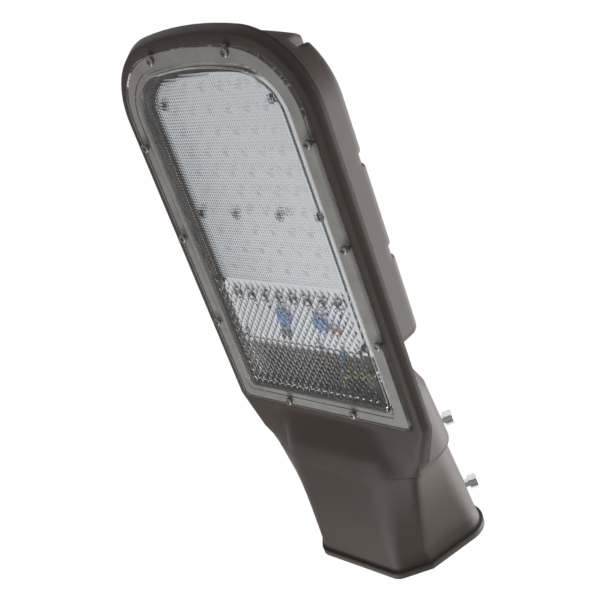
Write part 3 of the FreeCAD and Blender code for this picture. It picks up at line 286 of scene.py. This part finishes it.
# Noises are given as scale and detail.
COAT_CLOUD = (14.0, 4.0)
COAT_PEEL = (900.0, 2.0)
COAT_SPECKLE = (2600.0, 1.0)
SPECKLE_SHARE = 0.4
PEEL_STRENGTH = 0.5
PEEL_DEPTH = 0.05 * MM
RUB_PATCHES = (160.0, 3.0)
RUB_GAIN = 2.2
RUB_MOST = 0.7
EDGE_WEAR = 0.9 * MM
EDGE_ROUND = 4.5 * MM
# The front of the neck, where the casting's edges are rounder than elsewhere.
NECK_ROUND = 10.0 * MM
NECK_FROM = 14.0 * MM
NECK_TO = 112.0 * MM
NECK_BACK = 6.0 * MM
NECK_FADE = 8.0 * MM
coat, recipe = new_recipe("powder_coat")
on_neck = fade(recipe, "Y", NECK_FROM, NECK_FROM + NECK_FADE)
on_neck = on_neck * fade(recipe, "Y", NECK_TO, NECK_TO - NECK_FADE)
on_neck = on_neck * fade(recipe, "Z", NECK_BACK, NECK_BACK - NECK_FADE)
rounded = recipe.node(
    "ShaderNodeMix", {"data_type": "VECTOR"},
    {0: on_neck, 4: softened(recipe, EDGE_ROUND), 5: softened(recipe, NECK_ROUND)}, out=1)
cloud = noise(recipe, *COAT_CLOUD)
rub = edge_mask(recipe, EDGE_WEAR) * RUB_GAIN * noise(recipe, *RUB_PATCHES)
peel = noise(recipe, *COAT_PEEL) + SPECKLE_SHARE * noise(recipe, *COAT_SPECKLE)
cover = clouded(recipe, cloud, COAT_DEEP, COAT_BROWN)
recipe.surface({
    "Base Color": recipe.blend(rub.smaller(RUB_MOST), cover, COAT_RUBBED),
    "Roughness": COAT_ROUGH + COAT_ROUGH_DRIFT * cloud,
    "Specular IOR Level": COAT_SPECULAR,
    "Normal": bumped(recipe, peel, PEEL_STRENGTH, PEEL_DEPTH, rounded),
})
finish_node("housing", coat)


# Cable gland: a black nylon fitting through the wall behind the socket, with its locknut and cap.
# A rubber seal inside the cap grips the cable.
MOTTLE = (90.0, 3.0)
MOTTLE_DARK = 0.82
MOTTLE_ROUGH = 0.1
GRAIN_STRENGTH = 0.4


def shaded(colour, share):
    """A colour darkened to a share of its light."""
    return tuple(share * part for part in colour)


def moulded(name, colour, rough, grain_scale, grain_depth):
    """A moulded finish with a slight mottle and a fine grain."""
    material, recipe = new_recipe(name)
    mottle = noise(recipe, *MOTTLE)
    recipe.surface({
        "Base Color": clouded(recipe, mottle, shaded(colour, MOTTLE_DARK), colour),
        "Roughness": rough + MOTTLE_ROUGH * mottle,
        "Normal": bumped(recipe, noise(recipe, grain_scale), GRAIN_STRENGTH, grain_depth),
    })
    return material


NYLON_BLACK = (0.030, 0.030, 0.031)
SILICONE_GREY = (0.37, 0.342, 0.315)
nylon = moulded(
    "black_nylon", NYLON_BLACK, rough=0.42, grain_scale=1500.0, grain_depth=0.04 * MM)
silicone = moulded(
    "grey_silicone", SILICONE_GREY, rough=0.55, grain_scale=1200.0, grain_depth=0.05 * MM)
for node in ("gland_body", "gland_nut", "gland_cap"):
    finish_node(node, nylon)
finish_node("gland_seal", silicone)


# Earth point: a tinned ring lug under a stainless screw on the cavity floor.
# The screw is of the same plain steel as the screws of the lens.
BLOOM = (220.0, 3.0)
BLOOM_DULL = 0.8
BLOOM_ROUGH = 0.12
SCRATCH_DETAIL = 4.0
SCRATCH_STRENGTH = 0.3
SCRATCH_DEPTH = 0.03 * MM


def bright(name, colour, rough, scratch_scale):
    """Bare metal with fine scratches and a slight bloom."""
    material, recipe = new_recipe(name)
    bloom = noise(recipe, *BLOOM)
    scratch = noise(recipe, scratch_scale, SCRATCH_DETAIL)
    recipe.surface({
        "Base Color": clouded(recipe, bloom, shaded(colour, BLOOM_DULL), colour),
        "Metallic": 1.0,
        "Roughness": rough + BLOOM_ROUGH * bloom,
        "Normal": bumped(recipe, scratch, SCRATCH_STRENGTH, SCRATCH_DEPTH),
    })
    return material


STEEL_GREY = (0.33, 0.32, 0.31)
TIN_PALE = (0.72, 0.71, 0.69)
steel = bright("stainless_steel", STEEL_GREY, rough=0.34, scratch_scale=1800.0)
tin = bright("bright_tin", TIN_PALE, rough=0.30, scratch_scale=900.0)
finish_node("earth_lug", tin)
finish_node("earth_screw", steel)


# Leads: silicone-covered wires from the gland, two to the board and one to the earth lug.
# Brown is live, blue is neutral, and green with a yellow stripe along it is earth.
LEAD_BROWN = (0.22, 0.082, 0.034)
LEAD_BLUE = (0.045, 0.14, 0.42)
EARTH_GREEN = (0.10, 0.34, 0.05)
EARTH_YELLOW = (0.62, 0.50, 0.05)
LEAD_ROUGH = 0.48
STRIPE_BELOW = -0.75


def lead_cover(name, colour, stripe):
    """Wire insulation, with a stripe along the side that faces the lens."""
    material, recipe = new_recipe(name)
    facing = recipe.node("ShaderNodeTexCoord", out="Normal")
    upward = recipe.node("ShaderNodeSeparateXYZ", inputs={0: facing}, out="Z")
    mottle = noise(recipe, *MOTTLE)
    cover = clouded(recipe, mottle, shaded(colour, MOTTLE_DARK), colour)
    recipe.surface({
        "Base Color": recipe.blend(upward < STRIPE_BELOW, cover, stripe),
        "Roughness": LEAD_ROUGH + MOTTLE_ROUGH * mottle,
    })
    return material


for node, colour, stripe in (
    ("live_wire", LEAD_BROWN, LEAD_BROWN),
    ("neutral_wire", LEAD_BLUE, LEAD_BLUE),
    ("earth_wire", EARTH_GREEN, EARTH_YELLOW),
):
    finish_node(node, lead_cover(f"{node}_cover", colour, stripe))


# Diode board: an aluminium plate with white solder resist, whose copper shows as faint pads.
# It lies on the cavity floor and is held by eight screws, drawn in a near-black steel.
BOARD_WHITE = (0.86, 0.88, 0.92)
COPPER_SHADE = (0.76, 0.78, 0.81)
COPPER_SHOWS = 0.75
SCREW_BLACK = (0.060, 0.060, 0.062)
RESIST_MOTTLE = (60.0, 3.0)
RESIST_ROUGH = 0.36
RESIST_ROUGH_DRIFT = 0.12
RESIST_WAVE = 0.5
RESIST_STRENGTH = 0.5
RESIST_DEPTH = 0.04 * MM
DIODE_STEP = Vector((16.0 * MM, 13.3 * MM, 0.0))
DIODE_COUNT = (6, 10)
DIODE_ROW = 223.5 * MM
DIODE_FIRST = Vector((-(DIODE_COUNT[0] - 1) / 2 * DIODE_STEP.x, DIODE_ROW, 0.0))
# The pads meet half-way between the diodes, with a gap given as a share of the step.
PAD_EDGE = 0.5
PAD_GAP = 0.035
resist, recipe = new_recipe("white_resist")
gaps = []
for index, axis in enumerate("XY"):
    steps = (along_axis(recipe, axis) - DIODE_FIRST[index]) / DIODE_STEP[index]
    gaps.append((steps.fraction() - PAD_EDGE).size() < PAD_GAP)
gap = gaps[0].larger(gaps[1])
mottle = noise(recipe, *RESIST_MOTTLE)
recipe.surface({
    "Base Color": recipe.blend(COPPER_SHOWS * gap, BOARD_WHITE, COPPER_SHADE),
    "Roughness": RESIST_ROUGH + RESIST_ROUGH_DRIFT * mottle,
    "Normal": bumped(recipe, RESIST_WAVE * mottle - gap, RESIST_STRENGTH, RESIST_DEPTH),
})
finish_node("led_board", resist)
# The board's screws are given a near-black steel, so they look dark.
dark_screw = bright("dark_screw_steel", SCREW_BLACK, rough=0.45, scratch_scale=1500.0)
finish_node("board_screws", dark_screw)


# Diodes: square white cups with a pane of yellow phosphor resin, soldered to the board in rows.
# One cup and one pane are drawn, and the rows are set out by their pitch.
def spread(name, template, finish, places):
    """One mesh of a template at many places, laid out by a node tree and baked."""
    points = bpy.data.meshes.new(f"{name}_places")
    points.from_pydata([tuple(place) for place in places], [], [])
    piece = bpy.data.objects.new(name, points)
    scene.collection.objects.link(piece)
    pattern = bpy.data.objects.new(f"{name}_pattern", template)
    scene.collection.objects.link(pattern)
    tree = bpy.data.node_groups.new(f"{name}_layout", "GeometryNodeTree")
    face = tree.interface
    face.new_socket("Places", in_out="INPUT", socket_type="NodeSocketGeometry")
    pattern_input = face.new_socket("Pattern", in_out="INPUT", socket_type="NodeSocketObject")
    finish_input = face.new_socket("Finish", in_out="INPUT", socket_type="NodeSocketMaterial")
    face.new_socket("Pieces", in_out="OUTPUT", socket_type="NodeSocketGeometry")
    start = tree.nodes.new("NodeGroupInput")
    end = tree.nodes.new("NodeGroupOutput")
    shape = tree.nodes.new("GeometryNodeObjectInfo")
    copies = tree.nodes.new("GeometryNodeInstanceOnPoints")
    solid = tree.nodes.new("GeometryNodeRealizeInstances")
    coated = tree.nodes.new("GeometryNodeSetMaterial")
    for source, target in (
        (start.outputs["Places"], copies.inputs["Points"]),
        (start.outputs["Pattern"], shape.inputs["Object"]),
        (shape.outputs["Geometry"], copies.inputs["Instance"]),
        (copies.outputs["Instances"], solid.inputs["Geometry"]),
        (solid.outputs["Geometry"], coated.inputs["Geometry"]),
        (start.outputs["Finish"], coated.inputs["Material"]),
        (coated.outputs["Geometry"], end.inputs["Pieces"]),
    ):
        tree.links.new(source, target)
    layout = piece.modifiers.new("layout", "NODES")
    layout.node_group = tree
    layout[pattern_input.identifier] = pattern
    layout[finish_input.identifier] = finish
    bpy.context.view_layer.update()
    shown = piece.evaluated_get(bpy.context.evaluated_depsgraph_get())
    mesh = bpy.data.meshes.new_from_object(shown)
    piece.modifiers.clear()
    piece.data = mesh
    bpy.data.objects.remove(pattern)
    return piece


def box_into(shape, low, high, inset=0.0):
    """A block in a bmesh, whose lower face may be drawn in on every side."""
    corners = []
    for z, draw in ((low[2], inset), (high[2], 0.0)):
        for x, y in ((0, 0), (1, 0), (1, 1), (0, 1)):
            corners.append(shape.verts.new((
                (low[0] + draw, high[0] - draw)[x], (low[1] + draw, high[1] - draw)[y], z)))
    for face in (
        (3, 2, 1, 0), (4, 5, 6, 7), (0, 1, 5, 4), (1, 2, 6, 5), (2, 3, 7, 6), (3, 0, 4, 7),
    ):
        shape.faces.new([corners[index] for index in face])


def walls_into(shape, rings):
    """Faces in a bmesh between each closed ring of vertices and the next."""
    for first, second in zip(rings, rings[1:]):
        for index in range(len(first)):
            shape.faces.new((first[index - 1], first[index], second[index], second[index - 1]))


def mesh_of(name, shape):
    """The mesh of a bmesh, which is freed."""
    mesh = bpy.data.meshes.new(name)
    shape.to_mesh(mesh)
    shape.free()
    return mesh


board_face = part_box("led_board")[0].z
cup_low, cup_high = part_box("led_chips")
CUP_TALL = cup_high.z - cup_low.z
CUP_HALF = 1.5 * MM
CUP_WALL = 0.35 * MM
CUP_INNER = CUP_HALF - CUP_WALL
CUP_DRAFT = 0.1 * MM
CUP_DEEP = 0.12 * MM
CUP_WHITE = (0.82, 0.82, 0.79)
diode_places = [
    Vector((DIODE_FIRST.x + column * DIODE_STEP.x, DIODE_FIRST.y + row * DIODE_STEP.y, board_face))
    for row in range(DIODE_COUNT[1]) for column in range(DIODE_COUNT[0])
]
cup_levels = (
    (CUP_HALF, 0.0),
    (CUP_HALF, -CUP_TALL),
    (CUP_INNER, -CUP_TALL),
    (CUP_INNER - CUP_DRAFT, CUP_DEEP - CUP_TALL),
)
shape = bmesh.new()
rings = [
    [shape.verts.new((x * half, y * half, z)) for x, y in SQUARE] for half, z in cup_levels
]
walls_into(shape, rings)
shape.faces.new(rings[0])
shape.faces.new(rings[-1])
bmesh.ops.recalc_face_normals(shape, faces=shape.faces)
cup_white = moulded(
    "cup_white", CUP_WHITE, rough=0.35, grain_scale=1800.0, grain_depth=0.02 * MM)
cups = spread("diode_cups", mesh_of("diode_cup", shape), cup_white, diode_places)
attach(cups, "root")
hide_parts("led_chips")

PHOSPHOR_YELLOW = (0.84, 0.72, 0.34)
PANE_TOP = 0.02 * MM
PANE_FOOT = 0.06 * MM
PANE_DRAW = 0.12 * MM
phosphor = moulded(
    "phosphor_resin", PHOSPHOR_YELLOW, rough=0.22, grain_scale=1400.0, grain_depth=0.02 * MM)
shape = bmesh.new()
box_into(
    shape, (-CUP_INNER, -CUP_INNER, PANE_TOP - CUP_TALL),
    (CUP_INNER, CUP_INNER, PANE_FOOT - CUP_TALL), PANE_DRAW)
panes = spread("diode_panes", mesh_of("diode_pane", shape), phosphor, diode_places)
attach(panes, "root")


# Driver chips: black epoxy bodies with four tinned legs on each side, in a row below the diodes.
# A small chip resistor sits under each one.
EPOXY_BLACK = (0.020, 0.020, 0.022)
CHIP_COUNT = 8
CHIP_HALF = 3.1 * MM
BODY_HALF = 2.1 * MM
BODY_DRAW = 0.3 * MM
LEG_COUNT = 4
LEG_PITCH = 1.27 * MM
LEG_HALF = 0.22 * MM
LEG_THICK = 0.2 * MM
LEG_SUNK = 0.3 * MM
LEG_OUT = 0.35 * MM
LEG_ROOT = BODY_HALF - LEG_SUNK
LEG_KNEE = BODY_HALF + LEG_OUT
epoxy = moulded(
    "black_epoxy", EPOXY_BLACK, rough=0.5, grain_scale=2000.0, grain_depth=0.03 * MM)
chip_low, chip_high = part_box("driver_chips")
chip_tall = chip_high.z - chip_low.z
chip_step = (chip_high.x - chip_low.x - 2 * CHIP_HALF) / (CHIP_COUNT - 1)
chip_row = (chip_low.y + chip_high.y) / 2
chip_places = [
    Vector((chip_low.x + CHIP_HALF + index * chip_step, chip_row, board_face))
    for index in range(CHIP_COUNT)
]
shape = bmesh.new()
box_into(
    shape, (-CHIP_HALF, -BODY_HALF, -chip_tall), (CHIP_HALF, BODY_HALF, -LEG_THICK), BODY_DRAW)
bodies = spread("chip_bodies", mesh_of("chip_body", shape), epoxy, chip_places)
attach(bodies, "root")
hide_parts("driver_chips")

# A leg leaves the body half-way up, turns down at the knee and ends flat on the board.
leg_parts = (
    (LEG_ROOT, LEG_KNEE, -chip_tall / 2 - LEG_THICK, -chip_tall / 2),
    (LEG_KNEE - LEG_THICK, LEG_KNEE, -chip_tall / 2, -LEG_THICK),
    (LEG_KNEE - LEG_THICK, CHIP_HALF, -LEG_THICK, 0.0),
)
shape = bmesh.new()
for side in (-1, 1):
    for index in range(LEG_COUNT):
        middle = (index - (LEG_COUNT - 1) / 2) * LEG_PITCH
        for near_y, far_y, low_z, high_z in leg_parts:
            low_y, high_y = sorted((side * near_y, side * far_y))
            box_into(
                shape, (middle - LEG_HALF, low_y, low_z), (middle + LEG_HALF, high_y, high_z))
legs = spread("chip_legs", mesh_of("chip_leg_set", shape), tin, chip_places)
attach(legs, "root")
finish_node("sense_resistors", epoxy)


# Surge parts: two blue varistor discs, a black bridge rectifier and an orange fuse resistor.
# They take up the mains at the board's lower end.
VARISTOR_BLUE = (0.045, 0.22, 0.56)
FUSE_ORANGE = (0.70, 0.25, 0.05)
finish_node("bridge_rectifier", epoxy)
dipped = moulded(
    "dipped_blue", VARISTOR_BLUE, rough=0.2, grain_scale=700.0, grain_depth=0.05 * MM)
for node in ("varistor_left", "varistor_right"):
    finish_node(node, dipped)
lacquer = moulded(
    "orange_lacquer", FUSE_ORANGE, rough=0.25, grain_scale=900.0, grain_depth=0.03 * MM)
finish_node("fuse_resistor", lacquer)


# Lens gasket: a flat ring of grey silicone rubber, cut from sheet and laid on the casting's ledge.
# The lens flange presses it down, and it shows through the clear flange as a grey band.
finish_node("lens_gasket", silicone)


# Lens cover: one clear moulding, with a grooved flange and a panel that stands a little proud.
# Inside, small pyramids spread the light of the diodes, and larger diamonds hide the wiring below.
# Its sizes are in millimetres, with y from the socket's mouth to the nose.
LENS_FOOT = 120.0
LENS_HALF = 75.0
LENS_LONG = 251.0
LENS_CORNER = 42.0
LENS_NOSE = 250.0
LENS_FOOT_CORNER = 5.0
FLANGE_WIDE = 12.0
FLANGE_THICK = 3.0
FLANGE_CUT = 0.4
# The groove's distance from the flange's inner edge, and its depth.
FLANGE_GROOVE = ((4.2, 0.0), (3.8, 0.5), (2.8, 0.5), (2.4, 0.0))
PANEL_STEP = 2.0
PANEL_INSET = FLANGE_WIDE + PANEL_STEP
PANEL_FOOT_CORNER = 4.0
PANEL_THICK = 2.4
PANEL_LEAN = 0.5
PANEL_CUT = 0.3
FINE_PITCH = 1.9
FINE_RISE = 0.15
FINE_FROM = 219.0
DIAMOND_WIDE = 5.6
DIAMOND_LONG = 6.4
DIAMOND_RISE = 0.72
DIAMOND_GAP = 1.0
PRISM_MARGIN = 0.8
PRISM_INSET = PANEL_INSET + PRISM_MARGIN
ARC_PARTS = 14
NOSE_PARTS = 22
SAME_POINT = 0.01
KEY_DIGITS = 3
MERGE_WITHIN = 0.0005
INSIDE_ONLY = 1
PANEL_FACE, FLANGE_BACK = (corner.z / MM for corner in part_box("lens_cover"))
PANEL_BACK = PANEL_FACE + PANEL_THICK
FLANGE_FACE = FLANGE_BACK - FLANGE_THICK


def lens_outline(inset, foot_corner):
    """The lens's outline drawn in on every side, anticlockwise, as points in millimetres."""
    half, corner, nose = LENS_HALF - inset, LENS_CORNER - inset, LENS_NOSE - inset
    middle = LENS_FOOT + LENS_LONG - LENS_NOSE
    spread_angle = math.acos((half - corner) / (nose - corner))
    shoulder = middle + (nose - corner) * math.sin(spread_angle)
    foot = LENS_FOOT + inset
    arcs = (
        (half - foot_corner, foot + foot_corner, foot_corner, -math.pi / 2, 0.0, ARC_PARTS),
        (half - corner, shoulder, corner, 0.0, spread_angle, ARC_PARTS),
        (0.0, middle, nose, spread_angle, math.pi - spread_angle, NOSE_PARTS),
        (corner - half, shoulder, corner, math.pi - spread_angle, math.pi, ARC_PARTS),
        (foot_corner - half, foot + foot_corner, foot_corner, math.pi, 1.5 * math.pi, ARC_PARTS),
    )
    points = []
    for x, y, radius, start, stop, parts in arcs:
        for part in range(parts + 1):
            angle = start + (stop - start) * part / parts
            point = (x + radius * math.cos(angle), y + radius * math.sin(angle))
            if not points or math.dist(points[-1], point) > SAME_POINT:
                points.append(point)
    return points


def inside_lens(x, y, inset):
    """Whether a point lies inside the lens's outline, drawn in by a margin."""
    half, corner, nose = LENS_HALF - inset, LENS_CORNER - inset, LENS_NOSE - inset
    middle = LENS_FOOT + LENS_LONG - LENS_NOSE
    past_nose = y > middle and math.hypot(x, y - middle) > nose
    if abs(x) > half or y < LENS_FOOT + inset or past_nose:
        return False
    shoulder = middle + math.sqrt((nose - corner) ** 2 - (half - corner) ** 2)
    beyond_x, beyond_y = abs(x) - (half - corner), y - shoulder
    return not (beyond_x > 0 and beyond_y > 0 and math.hypot(beyond_x, beyond_y) > corner)


def prism_lattice():
    """The four feet of each prism, opposite ones in pairs, and its tip as x, y and rise."""
    wide = int(LENS_HALF / FINE_PITCH)
    for j in range(int(LENS_LONG / FINE_PITCH)):
        for i in range(-wide, wide + 1):
            x, y = i * FINE_PITCH, FINE_FROM + j * FINE_PITCH
            feet = [
                (x + a * FINE_PITCH, y + b * FINE_PITCH)
                for a, b in ((0, 0), (1, 1), (0, 1), (1, 0))]
            yield feet, (x + FINE_PITCH / 2, y + FINE_PITCH / 2, FINE_RISE)
    wide = int(2 * LENS_HALF / DIAMOND_WIDE)
    for j in range(int(2 * (FINE_FROM - LENS_FOOT) / DIAMOND_LONG)):
        for i in range(-wide, wide + 1):
            x = (i + (j % 2) / 2) * DIAMOND_WIDE
            y = FINE_FROM - DIAMOND_GAP - (j + 1) * DIAMOND_LONG / 2
            feet = [
                (x - DIAMOND_WIDE / 2, y), (x + DIAMOND_WIDE / 2, y),
                (x, y - DIAMOND_LONG / 2), (x, y + DIAMOND_LONG / 2)]
            yield feet, (x, y, DIAMOND_RISE)


def rounded_key(x, y):
    """A point's place as a key that neighbouring prisms share."""
    return round(x, KEY_DIGITS), round(y, KEY_DIGITS)


heights = {}
prism_sides = []
for feet, tip in prism_lattice():
    if all(inside_lens(*foot, PRISM_INSET) for foot in feet):
        for x, y, rise in [(*foot, 0.0) for foot in feet] + [tip]:
            key = rounded_key(x, y)
            heights[key] = max(rise, heights.get(key, 0.0))
        prism_sides += [(start, end) for start in feet[:2] for end in feet[2:]]
panel_edge = lens_outline(PANEL_INSET, PANEL_FOOT_CORNER)
edge_count = len(panel_edge)
flat_points = [Vector(point) for point in panel_edge] + [Vector(key) for key in heights]
rises = [0.0] * edge_count + list(heights.values())
number = {key: edge_count + index for index, key in enumerate(heights)}
creases = [(index, (index + 1) % edge_count) for index in range(edge_count)]
creases += [
    (number[rounded_key(*start)], number[rounded_key(*end)]) for start, end in prism_sides]
placed, _, triangles, origins, _, _ = delaunay_2d_cdt(
    flat_points, creases, [], INSIDE_ONLY, MERGE_WITHIN)
shape = bmesh.new()
inner_verts = []
for place, origin in zip(placed, origins):
    rise = max((rises[index] for index in origin), default=0.0)
    inner_verts.append(shape.verts.new((place.x * MM, place.y * MM, (PANEL_BACK + rise) * MM)))
for triangle in triangles:
    shape.faces.new([inner_verts[index] for index in triangle])
by_origin = {index: vert for vert, origin in zip(inner_verts, origins) for index in origin}
# From the panel's back round the flange to the panel's face: inset, foot corner and height.
lens_levels = (
    (PANEL_INSET, PANEL_FOOT_CORNER, FLANGE_BACK),
    (0.0, LENS_FOOT_CORNER, FLANGE_BACK),
    (0.0, LENS_FOOT_CORNER, FLANGE_FACE + FLANGE_CUT),
    (FLANGE_CUT, LENS_FOOT_CORNER, FLANGE_FACE),
    *((FLANGE_WIDE - off, LENS_FOOT_CORNER, FLANGE_FACE + deep) for off, deep in FLANGE_GROOVE),
    (FLANGE_WIDE - PANEL_LEAN, LENS_FOOT_CORNER, FLANGE_FACE),
    (FLANGE_WIDE, LENS_FOOT_CORNER, PANEL_FACE + PANEL_CUT),
    (FLANGE_WIDE + PANEL_LEAN, LENS_FOOT_CORNER, PANEL_FACE),
)
rings = [[by_origin[index] for index in range(edge_count)]]
for inset, foot_corner, z in lens_levels:
    outline = lens_outline(inset, foot_corner)
    rings.append([shape.verts.new((x * MM, y * MM, z * MM)) for x, y in outline])
walls_into(shape, rings)
shape.faces.new(rings[-1])
bmesh.ops.recalc_face_normals(shape, faces=shape.faces)
lens_mesh = mesh_of("lens_panel", shape)

CLEAR_TINT = (0.97, 0.98, 0.98)
CLEAR_HAZE = (40.0, 3.0)
CLEAR_ROUGH = 0.03
HAZE_ROUGH = 0.05
CLEAR_IOR = 1.49
clear, recipe = new_recipe("clear_moulding")
haze = noise(recipe, *CLEAR_HAZE)
glass = recipe.node("ShaderNodeBsdfPrincipled", inputs={
    "Base Color": CLEAR_TINT,
    "Roughness": CLEAR_ROUGH + HAZE_ROUGH * haze,
    "IOR": CLEAR_IOR,
    "Transmission Weight": 1.0,
})
open_way = recipe.node("ShaderNodeBsdfTransparent", inputs={"Color": CLEAR_TINT})
lit = recipe.any_ray("Is Shadow Ray", "Is Diffuse Ray")
recipe.finish(recipe.node("ShaderNodeMixShader", inputs={0: lit, 1: glass, 2: open_way}))
lens_mesh.materials.append(clear)
lens = bpy.data.objects.new("lens_panel", lens_mesh)
scene.collection.objects.link(lens)
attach(lens, "root")
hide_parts("lens_cover")


# Lens screws: ten pan-head screws of plain stainless steel, cold-headed with a cross recess.
# They pass through the flange and the gasket into blind holes in the casting.
finish_node("lens_screws", steel)


# Clamp screws: four steel cap screws with a key socket in the head, bright zinc plated.
# They are turned in through the back of the neck until their ends grip the pole.
ZINC_PALE = (0.78, 0.78, 0.77)
zinc = bright("bright_zinc", ZINC_PALE, rough=0.12, scratch_scale=1200.0)
finish_node("clamp_screws", zinc)
